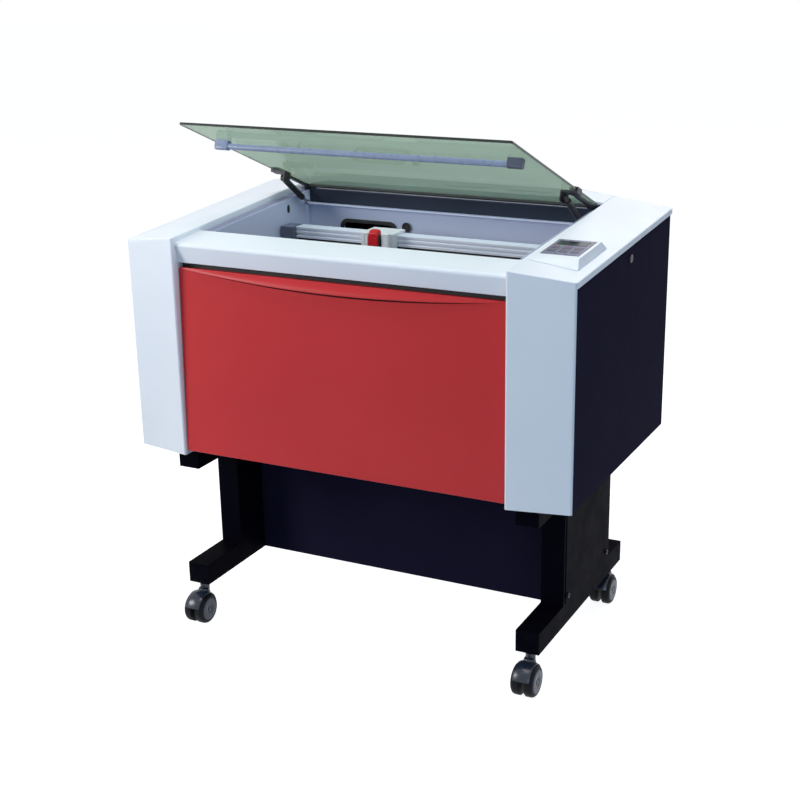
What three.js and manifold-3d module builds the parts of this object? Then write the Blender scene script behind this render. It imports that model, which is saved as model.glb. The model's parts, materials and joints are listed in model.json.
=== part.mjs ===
// Desktop laser cutter on a castored stand, with its lid open.
// X runs across the machine, Y from front to back and Z up from the floor. Units are millimetres.

import * as THREE from 'three';
import { mergeVertices } from 'three/addons/utils/BufferGeometryUtils.js';
import Module from 'manifold-3d';

const wasm = await Module();
wasm.setup();

// Driving dimensions: body
const bodyWidth = 1130;
const bodyDepth = 690;
const bodyHeight = 532; // underside to the inner front corner of the column tops
const columnWidth = 148;
const columnRake = 28; // how far a column's outer front edge stands back
const topRise = 0.062; // rise of the tops per mm to the back
const topFall = 0.138; // fall of the tops per mm outwards
const lipHeight = 14;
const coverWall = 4;
const sheet = 3; // folded sheet parts
const gap = 0.3; // between pieces that touch
const ledgeWidth = 25;
const ledgeDrop = 16; // ledge below the column tops
const rearCompartment = 100; // well's rear wall to the back of the machine
const crownWidth = 680; // flat middle of the rear deck
const ventLength = 120;
const ventWidth = 8;
const ventFromBack = 48;
const ventStart = 42; // first vent's middle from the machine's middle
const ventPitch = 167;

// Stand
const casterHeight = 105;
const footBeamHeight = 54;
const footBeamWidth = 58;
const footBeamLength = 578;
const legHeight = 264;
const legDepth = 323;
const legSetback = 220;
const upperBeamHeight = 56;
const upperBeamWidth = 56;
const standSetback = 65;
const upperBeamSetback = 56;
const standHalfTrack = 450;
const tubeWall = 3;
const cableHoleRadius = 9;
const modestySetback = 334;
const modestyThickness = 18;
const modestySheet = 2;

// Casters
const wheelRadius = 38;
const wheelWidth = 22;
const wheelShoulder = 8; // chamfer of a wheel's outer edge
const casterTrail = 24;
const casterInset = 23; // stem from the beam's end
const hoodHalfWidth = 21;
const hoodWall = 2.7;
const wheelClearance = 1.3;
const forkWeb = 10; // width of the web between the two wheels
const axleRadius = 4;

// Crossbar and front door
const crossbarSetback = 10;
const crossbarDepth = 108;
const crossbarNoseDrop = 13; // nose below the column tops
const crossbarRearRise = 10;
const crossbarHeight = 48;
const crossbarUndercut = 14;
const crossbarWall = 4;
const doorGapTop = 12;
const doorBottomGap = 10;
const doorThickness = 18;
const doorSkin = 3;
const doorSetback = 8;
const doorClearance = 8; // door's back to the floor pan's upstand
const doorLean = 12; // how far the door's top edge stands behind its bottom edge
const doorSideGap = 2;
const doorPinRadius = 4;
const lipReach = 14; // bow of the door's grip lip
const gripHeight = 18;

// Lid
const lidAngle = 0.387; // rest pose above horizontal, radians
const lidFrontSetback = 4;
const lidSideGap = 7.5;
const glassThickness = 6;
const hingeDrop = 12.2; // axis below the column tops
const glassLift = 3; // glass underside above the axis
const glassStart = 12; // glass rear edge in front of the axis
const hingePinRadius = 4;
const eyeRadius = 8;
const eyeWidth = 13;
const railHeight = 34;
const railDepth = 14;
const earThickness = 7;
const armWidth = 13;
const armThickness = 5.5;
const armInset = 7.5; // arm's outer edge from the glass edge
const clampLength = 30;
const clampCentre = 163; // clamp and strut pivot from the hinge axis, along the lid
const lampFromHinge = 467;
const lampDrop = 11;
const lampRadius = 7;
const lampCapLength = 35;

// Gas struts
const strutRadius = 8;
const strutInset = 10; // strut's centre line from the well wall
const strutEyeWidth = 8;
const strutEyeRadius = 8;
const strutPinRadius = 3;
const rodRadius = 4;
const rodLength = 60;
const cylinderStart = 29;
const strutPivotDrop = 14; // upper pivot below the hinge axis, square to the lid
const openPivotClearance = 1.6;
const lowerPivotFromHinge = 43;
const lowerPivotDrop = 32;

// Motion system
const gantrySetback = 445;
const beamDepth = 36;
const beamHeight = 28;
const beamDrop = 77; // beam's underside below the column tops at the front
const beamWall = 9;
const slotSize = 5;
const slotDepth = 3;
const yRailWidth = 14.7;
const yRailHeight = 18;
const carriageWidth = 37;
const carriageDepth = 49;
const railToBeam = 17;
const pulleyRadius = 8.7;
const beltThickness = 1.5;
const beltWidth = 8;
const headOffset = -104; // head's place along the gantry at rest
const headWidth = 88;
const headBlockDepth = 26.7;
const headCoverWidth = 27;
const headCoverDepth = 20;
const nozzleHeight = 10;

// Bed
const tableTop = 787; // at rest
const tableThickness = 28;
const tableSideGap = 24;
const tableFront = 140;
const tableBackGap = 20;
const rimWide = 28;
const rimNarrow = 16;
const honeycombDepth = 10;
const postRadius = 7;
const postClearance = 0.6;
const postTopGap = 43; // posts end this far below the gantry
const liftBeam = 20;

// Controls, rear fittings and inside units
const consoleHeight = 11.5; // console's top above the inner front corner of the column tops
const consoleTilt = 0.065;
const keypadWidth = 87;
const keypadLength = 118;
const keypadThickness = 2;
const keySize = 18;
const keyPitch = 26;
const keyProud = 1;
const keyHeight = 4;
const lockRadius = 10;
const lockFromFront = 388;
const lockDrop = 45;
const sensorProud = 1.6; // clear of the strut when the lid is down
const spigotLength = 60;
const spigotRadius = 37.5;
const spigotWall = 3;
const spigotPitch = 160;
const manifoldWidth = 270;
const manifoldHeight = 110;
const inletWidth = 50;
const inletHeight = 72;
const sourceLength = 640;
const sourceHeight = 110;
const supplySheet = 2;

// Derived levels and lines
const standHeight = casterHeight + footBeamHeight + legHeight + upperBeamHeight;
const bodyBottom = standHeight + gap;
const bodyTop = bodyBottom + bodyHeight;
const outerX = bodyWidth / 2;
const innerX = outerX - columnWidth;
const wellHalf = innerX - ledgeWidth;
const frontY = -(bodyDepth + spigotLength) / 2;
const backY = frontY + bodyDepth;
const wellBackY = backY - rearCompartment;
const panTop = bodyBottom + sheet;
const crossbarFrontY = frontY + crossbarSetback;
const crossbarBackY = crossbarFrontY + crossbarDepth;
const crossbarBottom = bodyTop - crossbarNoseDrop - crossbarHeight;
const hingeY = wellBackY + sheet + railDepth / 2;
const sides = { left: -1, right: 1 };
const sideRows = Object.entries(sides);
const corners = [
  [1, -1],
  [-1, -1],
  [1, 1],
  [-1, 1],
];

const fromFront = (distance) => frontY + distance;
const columnTop = (x, y) => bodyTop + topRise * (y - frontY) - topFall * (Math.abs(x) - innerX);
const rakeAt = (x) => frontY + (columnRake * (Math.abs(x) - innerX)) / columnWidth;
const hingeZ = columnTop(innerX, hingeY) - hingeDrop;
const railBottom = hingeZ - 3 - railHeight;
const beamBottom = bodyTop - beamDrop;
const beamTop = beamBottom + beamHeight;
const gantryY = fromFront(gantrySetback);
const yRailTop = beamBottom - railToBeam;
const doorHeight = crossbarBottom - doorGapTop - (bodyBottom + doorBottomGap);
const glassHalf = innerX - lidSideGap;
const lidGroup = new THREE.Group();
const machine = new THREE.Group();

// Materials
const finishes = {
  white: { color: 0xe3e9f2, roughness: 0.45, metalness: 0 },
  greyBlue: { color: 0xa9b6cc, roughness: 0.5, metalness: 0 },
  red: { color: 0xb4262f, roughness: 0.35, metalness: 0 },
  navy: { color: 0x1c1b26, roughness: 0.5, metalness: 0 },
  black: { color: 0x121216, roughness: 0.5, metalness: 0 },
  rail: { color: 0x2f3348, roughness: 0.4, metalness: 0.2 },
  aluminium: { color: 0xc3c9d2, roughness: 0.3, metalness: 0.9 },
  steel: { color: 0x9aa0a8, roughness: 0.3, metalness: 0.9 },
  rubber: { color: 0x17171a, roughness: 0.9, metalness: 0 },
  caster: { color: 0x3d4450, roughness: 0.4, metalness: 0 },
  keypad: { color: 0x4a4452, roughness: 0.4, metalness: 0 },
  key: { color: 0x5a5566, roughness: 0.5, metalness: 0 },
};

function finish(name) {
  return new THREE.MeshStandardMaterial(finishes[name]);
}

function glassMaterial() {
  return new THREE.MeshStandardMaterial({
    color: 0x8fae8a,
    roughness: 0.05,
    metalness: 0,
    transparent: true,
    opacity: 0.5,
  });
}

function add(name, geometry, material, parent = machine) {
  const mesh = new THREE.Mesh(geometry, typeof material === 'string' ? finish(material) : material);
  mesh.name = name;
  parent.add(mesh);
  return mesh;
}

// Geometry helpers
function toSolid(geometry) {
  const bare = new THREE.BufferGeometry();
  bare.setAttribute('position', geometry.getAttribute('position').clone());
  if (geometry.index) {
    bare.setIndex(geometry.index.clone());
  }
  const merged = mergeVertices(bare);
  return new wasm.Manifold(
    new wasm.Mesh({
      numProp: 3,
      vertProperties: new Float32Array(merged.getAttribute('position').array),
      triVerts: new Uint32Array(merged.index.array),
    }),
  );
}

function toGeometry(solid) {
  const mesh = solid.getMesh();
  const geometry = new THREE.BufferGeometry();
  geometry.setAttribute('position', new THREE.BufferAttribute(mesh.vertProperties, 3));
  geometry.setIndex(new THREE.BufferAttribute(mesh.triVerts, 1));
  return geometry;
}

function join(...geometries) {
  return toGeometry(geometries.map(toSolid).reduce((sum, next) => sum.add(next)));
}

function cut(base, ...tools) {
  return toGeometry(tools.map(toSolid).reduce((rest, tool) => rest.subtract(tool), toSolid(base)));
}

function common(a, b) {
  return toGeometry(toSolid(a).intersect(toSolid(b)));
}

function box([x0, x1], [y0, y1], [z0, z1]) {
  const size = [x1 - x0, y1 - y0, z1 - z0].map(Math.abs);
  return new THREE.BoxGeometry(...size).translate((x0 + x1) / 2, (y0 + y1) / 2, (z0 + z1) / 2);
}

function outline(points) {
  return new THREE.Shape(points.map(([u, v]) => new THREE.Vector2(u, v)));
}

function extrude(shape, depth) {
  return new THREE.ExtrudeGeometry(shape, { depth, bevelEnabled: false, curveSegments: 6 });
}

const axisX = new THREE.Vector3(1, 0, 0);
const axisY = new THREE.Vector3(0, 1, 0);
const axisZ = new THREE.Vector3(0, 0, 1);
const layAlongX = new THREE.Matrix4().makeBasis(axisY, axisZ, axisX);
const layAlongY = new THREE.Matrix4().makeBasis(axisX, axisZ, axisY.clone().negate());

// A shape drawn in Y and Z, extruded from x0 to x1
function alongX(shape, x0, x1) {
  return extrude(shape, x1 - x0).applyMatrix4(layAlongX).translate(x0, 0, 0);
}

// A shape drawn in X and Z, extruded from y0 to y1
function alongY(shape, y0, y1) {
  return extrude(shape, y1 - y0).applyMatrix4(layAlongY).translate(0, y1, 0);
}

// A shape drawn in X and Y, extruded from z0 to z1
function alongZ(shape, z0, z1) {
  return extrude(shape, z1 - z0).translate(0, 0, z0);
}

function disc(radius, u = 0, v = 0) {
  const shape = new THREE.Shape();
  shape.absarc(u, v, radius, 0, Math.PI * 2);
  return shape;
}

function rod(along, radius, from, to, u, v, segments = 20) {
  const geometry = new THREE.CylinderGeometry(radius, radius, to - from, segments);
  const middle = (from + to) / 2;
  if (along === 'x') {
    return geometry.rotateZ(Math.PI / 2).translate(middle, u, v);
  }
  if (along === 'y') {
    return geometry.translate(u, middle, v);
  }
  return geometry.rotateX(Math.PI / 2).translate(u, v, middle);
}

// A plan outline between two surfaces given as functions of x and y
function between(points, lower, upper) {
  const geometry = alongZ(outline(points), 0, 1);
  const position = geometry.getAttribute('position');
  for (let i = 0; i < position.count; i += 1) {
    const surface = position.getZ(i) > 0.5 ? upper : lower;
    position.setZ(i, surface(position.getX(i), position.getY(i)));
  }
  return geometry;
}

// A six-sided block between a lower and an upper rectangle: [[x0, x1], [y0, y1], height function]
function taperedBlock(lower, upper) {
  const geometry = new THREE.BoxGeometry(1, 1, 1);
  const position = geometry.getAttribute('position');
  for (let i = 0; i < position.count; i += 1) {
    const [xs, ys, height] = position.getZ(i) > 0 ? upper : lower;
    const x = xs[position.getX(i) > 0 ? 1 : 0];
    const y = ys[position.getY(i) > 0 ? 1 : 0];
    position.setXYZ(i, x, y, height(x, y));
  }
  return geometry;
}

function mirrored(geometry) {
  const flipped = geometry.clone().scale(-1, 1, 1);
  const merged = flipped.index ? flipped : mergeVertices(flipped);
  const index = merged.index;
  for (let i = 0; i < index.count; i += 3) {
    const first = index.getX(i);
    index.setX(i, index.getX(i + 1));
    index.setX(i + 1, first);
  }
  return merged;
}

// Both hands of a piece that is drawn for the right side
function addPair(nameOf, geometry, material, parent = machine) {
  for (const [side, sign] of sideRows) {
    add(nameOf(side), sign > 0 ? geometry : mirrored(geometry), material, parent);
  }
}

const centred = (middle, size) => [middle - size / 2, middle + size / 2];

function rounded(width, height, radius, cx = 0, cz = 0) {
  const [x0, x1] = centred(cx, width);
  const [z0, z1] = centred(cz, height);
  const shape = new THREE.Shape();
  shape.moveTo(x0 + radius, z0);
  shape.lineTo(x1 - radius, z0);
  shape.absarc(x1 - radius, z0 + radius, radius, -Math.PI / 2, 0);
  shape.lineTo(x1, z1 - radius);
  shape.absarc(x1 - radius, z1 - radius, radius, 0, Math.PI / 2);
  shape.lineTo(x0 + radius, z1);
  shape.absarc(x0 + radius, z1 - radius, radius, Math.PI / 2, Math.PI);
  shape.lineTo(x0, z0 + radius);
  shape.absarc(x0 + radius, z0 + radius, radius, Math.PI, Math.PI * 1.5);
  return shape;
}

// Stand: two welded side frames and the panel between their legs
function addStand() {
  const footZ = [casterHeight, casterHeight + footBeamHeight];
  const legZ = [footZ[1], footZ[1] + legHeight];
  const upperZ = [legZ[1], standHeight];
  const footY = [fromFront(standSetback), fromFront(standSetback + footBeamLength)];
  const legY = [fromFront(legSetback), fromFront(legSetback + legDepth)];
  const upperY = [fromFront(upperBeamSetback), fromFront(upperBeamSetback + footBeamLength)];
  const throughBeams = (wall) => [footZ[1] - 2 * wall - 1, upperZ[0] + 2 * wall + 1];
  const tubes = (wall) => {
    const inset = ([low, high]) => [low + wall, high - wall];
    return join(
      box(inset(centred(standHalfTrack, footBeamWidth)), inset(footY), inset(footZ)),
      box(inset(centred(standHalfTrack, footBeamWidth)), inset(legY), throughBeams(wall)),
      box(inset(centred(standHalfTrack, upperBeamWidth)), inset(upperY), inset(upperZ)),
    );
  };
  const legMiddle = (legY[0] + legY[1]) / 2;
  const hole = rod('z', cableHoleRadius, casterHeight - 1, casterHeight + 9, standHalfTrack, legMiddle);
  addPair((side) => `${side}_stand_frame`, cut(tubes(0), tubes(tubeWall), hole), 'black');
  const reach = standHalfTrack - footBeamWidth / 2 - gap;
  const panelY = [fromFront(modestySetback), fromFront(modestySetback + modestyThickness)];
  const panelZ = [casterHeight, legZ[1]];
  const tray = box([-reach, reach], panelY, panelZ);
  const inside = box(
    [-reach + modestySheet, reach - modestySheet],
    [panelY[0] + modestySheet, panelY[1] + 1],
    [panelZ[0] + modestySheet, panelZ[1] - modestySheet],
  );
  add('modesty_panel', cut(tray, inside), 'navy');
}

// Casters: a hood that swivels on its stem, and two wheels on one axle
function addCasters() {
  const inner = forkWeb / 2;
  const outer = inner + 1 + wheelWidth;
  const hoodRadius = wheelRadius + wheelClearance + hoodWall;
  const innerRadius = wheelRadius + wheelClearance;
  const shell = common(
    rod('x', hoodRadius, -hoodHalfWidth, hoodHalfWidth, 0, wheelRadius, 28),
    box([-outer, outer], [-hoodRadius, hoodRadius], [wheelRadius - 4, 2 * hoodRadius]),
  );
  const neck = rod('z', 12, wheelRadius, casterHeight - gap, 0, casterTrail);
  const web = rod('x', 18, -inner, inner, 0, wheelRadius, 20);
  const spaceLeft = rod('x', innerRadius, -outer - 1, -inner, 0, wheelRadius, 28);
  const spaceRight = rod('x', innerRadius, inner, outer + 1, 0, wheelRadius, 28);
  const axleHole = rod('x', axleRadius + gap, -outer, outer, 0, wheelRadius, 16);
  const hood = cut(join(shell, neck, web), spaceLeft, spaceRight, axleHole);
  const profile = [
    [0, -outer],
    [wheelRadius - wheelShoulder, -outer],
    [wheelRadius, -outer + wheelShoulder],
    [wheelRadius, -inner - 4],
    [wheelRadius - 3, -inner - 1],
    [axleRadius, -inner - 1],
    [axleRadius, inner + 1],
    [wheelRadius - 3, inner + 1],
    [wheelRadius, inner + 4],
    [wheelRadius, outer - wheelShoulder],
    [wheelRadius - wheelShoulder, outer],
    [0, outer],
  ];
  const wheels = new THREE.LatheGeometry(outline(profile).getPoints(), 24);
  wheels.rotateZ(-Math.PI / 2).translate(0, 0, wheelRadius);
  for (const [sideSign, endSign] of corners) {
    const end = endSign < 0 ? 'front' : 'rear';
    const side = sideSign < 0 ? 'left' : 'right';
    const inset = endSign < 0 ? casterInset : footBeamLength - casterInset;
    const stemY = fromFront(standSetback + inset);
    const caster = new THREE.Group();
    caster.position.set(sideSign * standHalfTrack, stemY - casterTrail, 0);
    add(`${end}_${side}_caster_hood`, hood, 'caster', caster);
    add(`${end}_${side}_caster_wheels`, wheels, 'rubber', caster);
    machine.add(caster);
  }
}

// Column covers: front face, top, inner wall and a lip over the side panel, with the door's hinge pin
function addColumnCovers() {
  const far = 20;
  const wallY = coverWall * Math.hypot(1, columnRake / columnWidth);
  const body = between(
    [
      [innerX, frontY],
      [outerX, rakeAt(outerX)],
      [outerX, backY],
      [innerX, backY],
    ],
    () => bodyBottom,
    columnTop,
  );
  const inside = (x1, drop) =>
    between(
      [
        [innerX + coverWall, rakeAt(innerX + coverWall) + wallY],
        [x1, rakeAt(x1) + wallY],
        [x1, backY + far],
        [innerX + coverWall, backY + far],
      ],
      () => bodyBottom - far,
      (x, y) => columnTop(x, y) - drop,
    );
  const panGap = box(
    [innerX - 1, innerX + coverWall + 1],
    [fromFront(doorSetback + doorThickness + doorClearance) - gap, backY + far],
    [bodyBottom - far, panTop + gap],
  );
  const rearGap = between(
    [
      [innerX - 1, backY - sheet - gap],
      [innerX + coverWall + 1, backY - sheet - gap],
      [innerX + coverWall + 1, backY + far],
      [innerX - 1, backY + far],
    ],
    () => bodyBottom - far,
    (x, y) => columnTop(x, y) - coverWall,
  );
  const hollows = [inside(outerX + far, lipHeight), inside(outerX - coverWall, coverWall), panGap, rearGap];
  const shell = cut(body, ...hollows);
  const pin = rod('x', doorPinRadius, innerX - 8, innerX + 1, doorAxis.y, doorAxis.z, 16);
  addPair((side) => `${side}_column_cover`, join(shell, pin), 'white');
}

// Side panels, tucked behind the covers' lips; the right one holds the key lock
function addSidePanels() {
  const x1 = outerX - coverWall - gap;
  const x0 = x1 - sheet;
  const y0 = rakeAt(x1) + coverWall * Math.hypot(1, columnRake / columnWidth) + gap;
  const panel = between(
    [
      [x0, y0],
      [x1, y0],
      [x1, backY - sheet - gap],
      [x0, backY - sheet - gap],
    ],
    () => bodyBottom,
    (x, y) => columnTop(x1, y) - coverWall - gap,
  );
  const lockY = fromFront(lockFromFront);
  const lockZ = columnTop(outerX, lockY) - lockDrop;
  const hole = rod('x', lockRadius + gap, x0 - 1, x1 + 1, lockY, lockZ);
  add('left_side_panel', mirrored(toGeometry(toSolid(panel))), 'navy');
  add('right_side_panel', cut(panel, hole), 'navy');
  const barrel = rod('x', lockRadius, x0 - 10, x1 + 3, lockY, lockZ);
  const keySlot = box([x1 + 1, x1 + 4], centred(lockY, 2), centred(lockZ, 10));
  add('side_lock', cut(barrel, keySlot), 'steel');
}

// Height of the rear deck and of the column tops carried on inwards, up to the deck's crown
function deckTop(x, y) {
  return columnTop(Math.max(Math.abs(x), crownWidth / 2), y);
}

function topLine(halfWidth, y, drop) {
  const turns = [halfWidth, innerX, crownWidth / 2].filter((x, i, all) => i === 0 || x < all[i - 1]);
  const right = turns.map((x) => [x, deckTop(x, y) - drop]);
  const left = turns.map((x) => [-x, deckTop(x, y) - drop]).reverse();
  return [...right, ...left];
}

// Floor pan with an upstand behind the door
function addBasePan() {
  const sideX = outerX - coverWall - gap - sheet - gap;
  const doorY = fromFront(doorSetback + doorThickness + doorClearance);
  const wallY = coverWall * Math.hypot(1, columnRake / columnWidth) + gap;
  const pan = alongZ(
    outline([
      [-innerX - coverWall - gap, doorY],
      [innerX + coverWall + gap, doorY],
      [innerX + coverWall + gap, rakeAt(innerX + coverWall + gap) + wallY],
      [sideX, rakeAt(sideX) + wallY],
      [sideX, backY - sheet - gap],
      [-sideX, backY - sheet - gap],
      [-sideX, rakeAt(sideX) + wallY],
      [-innerX - coverWall - gap, rakeAt(innerX + coverWall + gap) + wallY],
    ]),
    bodyBottom,
    panTop,
  );
  const upstand = box([-innerX + gap, innerX - gap], [doorY, doorY + sheet], [bodyBottom, panTop + 24]);
  add('base_pan', join(pan, upstand), 'navy');
}

// Well: side walls with the ledge the lid rests over, and the rear wall with its extraction port
function addWell() {
  const startY = fromFront(doorSetback + doorThickness + doorLean + 3);
  const ledgeAt = (x, y) => columnTop(innerX, y) - ledgeDrop;
  const notchY = crossbarBackY + gap;
  const wall = between(
    [
      [wellHalf, notchY],
      [wellHalf + sheet, notchY],
      [wellHalf + sheet, wellBackY - gap],
      [wellHalf, wellBackY - gap],
    ],
    () => panTop + gap,
    ledgeAt,
  );
  const front = box([wellHalf, wellHalf + sheet], [startY, notchY + 1], [panTop + gap, crossbarBottom - gap]);
  const ledge = between(
    [
      [wellHalf, notchY],
      [innerX - gap, notchY],
      [innerX - gap, wellBackY - gap],
      [wellHalf, wellBackY - gap],
    ],
    (x, y) => ledgeAt(x, y) - sheet,
    ledgeAt,
  );
  const pinX = [strutX - strutEyeWidth / 2 - 1, wellHalf + 1];
  const pin = rod('x', strutPinRadius, ...pinX, lowerPivot.y, lowerPivot.z, 16);
  addPair((side) => `well_${side}_wall`, join(wall, front, ledge, pin), 'greyBlue');

  const plateTop = railBottom - gap;
  const plate = box([-innerX + gap, innerX - gap], [wellBackY, wellBackY + sheet], [panTop + gap, plateTop]);
  const flange = box(
    [-wellHalf + gap, wellHalf - gap],
    [wellBackY - 15, wellBackY + sheet],
    [plateTop - sheet, plateTop],
  );
  const port = alongY(rounded(portWidth, portHeight, portRadius, portX, portZ), wellBackY - 9, wellBackY + 9);
  add('well_rear_wall', cut(join(plate, flange), port), 'greyBlue');
  const trimOutside = rounded(portWidth + 20, portHeight + 20, portRadius + 10, portX, portZ);
  const trim = alongY(trimOutside, wellBackY - 6, wellBackY - gap);
  add('extraction_port_trim', cut(trim, port), 'rubber');
}

// Rear panel, rear deck with its vents, and what is fixed to the panel
function addRear() {
  const panelHalf = outerX - coverWall - gap;
  const panelY = [backY - sheet, backY];
  const edge = topLine(panelHalf, panelY[0], coverWall + gap);
  const panel = alongY(outline([[-panelHalf, bodyBottom], [panelHalf, bodyBottom], ...edge]), ...panelY);
  const spigotXs = [-spigotPitch / 2, spigotPitch / 2];
  const bore = spigotRadius - spigotWall;
  const bores = spigotXs.map((x) => rod('y', bore, backY - 20, backY + spigotLength + 5, x, manifoldZ, 28));
  const inletHole = box(centred(inletX, inletWidth), [backY - 20, backY + 1], centred(inletZ, inletHeight));
  add('rear_panel', cut(panel, ...bores, inletHole), 'navy');

  const plate = alongY(rounded(manifoldWidth, manifoldHeight, 12, 0, manifoldZ), backY + gap, backY + 4);
  const spigotY = [backY + 3, backY + spigotLength];
  const spigots = spigotXs.map((x) => rod('y', spigotRadius, ...spigotY, x, manifoldZ, 28));
  add('exhaust_manifold', cut(join(plate, ...spigots), ...bores), 'black');

  const deckHalf = innerX - gap;
  const deckY = [hingeY + 8.5, backY];
  const skirt = 50;
  const shape = (half, drop, low) => {
    const line = topLine(half, frontY, drop);
    return outline([[-half, low], [half, low], ...line]);
  };
  const rise = new THREE.Matrix4().makeShear(0, 0, 0, topRise, 0, 0);
  const low = bodyTop - skirt;
  const lean = (geometry) => geometry.translate(0, -frontY, 0).applyMatrix4(rise).translate(0, frontY, 0);
  const solid = lean(alongY(shape(deckHalf, 0, low), ...deckY));
  const hollow = lean(alongY(shape(deckHalf + 5, coverWall, low - 9), deckY[0] + sheet, deckY[1] + 9));
  const ventXs = [ventStart, ventStart + ventPitch];
  const ventY = backY - ventFromBack;
  const vents = ventXs.map((x) =>
    box(centred(x, ventLength), centred(ventY, ventWidth), [bodyTop, deckTop(0, backY) + 9]),
  );
  add('rear_deck', cut(solid, hollow, ...vents), 'white');
}

// Mains inlet with its switch housing, and the rocker switch
function addInlet() {
  const fit = 0.3;
  const faceY = backY + 3;
  const bezel = box(centred(inletX, inletWidth + 8), [backY + gap, faceY], centred(inletZ, inletHeight + 8));
  const bodyBox = box(
    centred(inletX, inletWidth - 2 * fit),
    [backY - 26, faceY],
    centred(inletZ, inletHeight - 2 * fit),
  );
  const socket = box(centred(inletX, 26), [backY - 18, faceY + 1], centred(inletZ - 14, 18));
  const rockerHole = box(
    centred(inletX, rocker.width + 1),
    [backY - 12, faceY + 1],
    centred(rockerZ, rocker.height + 1),
  );
  add('mains_inlet', cut(join(bezel, bodyBox), socket, rockerHole), 'black');
  const reach = rocker.height / 2;
  const rockerSide = outline([
    [rocker.pivotY - reach * 0.6, rockerZ - reach * 0.5],
    [rocker.pivotY, rockerZ - reach * 0.9],
    [rocker.pivotY + reach * 0.45, rockerZ - reach * 0.85],
    [rocker.pivotY + reach * 0.5, rockerZ],
    [rocker.pivotY + reach * 0.8, rockerZ + reach * 0.6],
    [rocker.pivotY, rockerZ + reach * 0.9],
    [rocker.pivotY - reach * 0.6, rockerZ + reach * 0.5],
  ]);
  add('mains_switch', alongX(rockerSide, ...centred(inletX, rocker.width)), 'red');
}

// Front crossbar: a hollow profile with a rounded nose
function addCrossbar() {
  const profile = (wall) => {
    const front = crossbarFrontY + wall;
    const back = crossbarBackY - wall;
    const nose = bodyTop - crossbarNoseDrop - wall;
    const shape = new THREE.Shape();
    shape.moveTo(front + crossbarUndercut, crossbarBottom + wall);
    shape.lineTo(front, nose - 8);
    shape.quadraticCurveTo(front, nose, front + 7, nose + 0.7);
    shape.lineTo(back, nose + crossbarRearRise);
    shape.lineTo(back, crossbarBottom + wall);
    return shape;
  };
  const half = innerX - gap;
  const hollow = alongX(profile(crossbarWall), -half - 5, half + 5);
  add('front_crossbar', cut(alongX(profile(0), -half, half), hollow), 'white');
}

// Front door: a shallow tray hinged at its bottom edge, with a bowed grip lip along its top
function addDoor() {
  const half = innerX - doorSideGap;
  const low = -doorThickness / 2;
  const high = doorHeight + low;
  const tray = box([-half, half], [low, -low], [low, high]);
  const inside = box(
    [-half + doorSkin, half - doorSkin],
    [low + doorSkin, -low + 1],
    [low + doorSkin, high - doorSkin],
  );
  const bow = new THREE.Shape();
  bow.moveTo(-half + 6, low + 1);
  bow.quadraticCurveTo(0, low - 2 * lipReach, half - 6, low + 1);
  const grip = alongZ(bow, high - gripHeight - 3, high - 3);
  const pinHole = rod('x', doorPinRadius + gap, -half - 1, half + 1, 0, 0, 16);
  const door = new THREE.Group();
  door.position.set(0, doorAxis.y, doorAxis.z);
  door.rotation.x = -Math.atan(doorLean / doorHeight);
  add('front_door', cut(join(tray, grip), inside, pinHole), 'red', door);
  machine.add(door);
}

// Hinge rail with two ears and a pin at each end
function addHingeRail() {
  const railY = centred(hingeY, railDepth);
  const eye = centred(armX, eyeWidth + 2 * gap);
  const earTop = hingeZ + 8;
  const earY = centred(hingeY, 16);
  const inner = [eye[0] - earThickness, eye[0]];
  const outer = [eye[1], eye[1] + earThickness];
  const end = join(
    box([inner[0], outer[1]], earY, [railBottom, hingeZ - eyeRadius - 5]),
    box(inner, earY, [railBottom, earTop]),
    box(outer, earY, [railBottom, earTop]),
    rod('x', hingePinRadius, inner[0], outer[1], hingeY, hingeZ, 16),
  );
  const rail = box([-inner[0] - 1, inner[0] + 1], railY, [railBottom, railBottom + railHeight]);
  add('hinge_rail', join(rail, end, mirrored(end)), 'rail');
}

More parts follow.
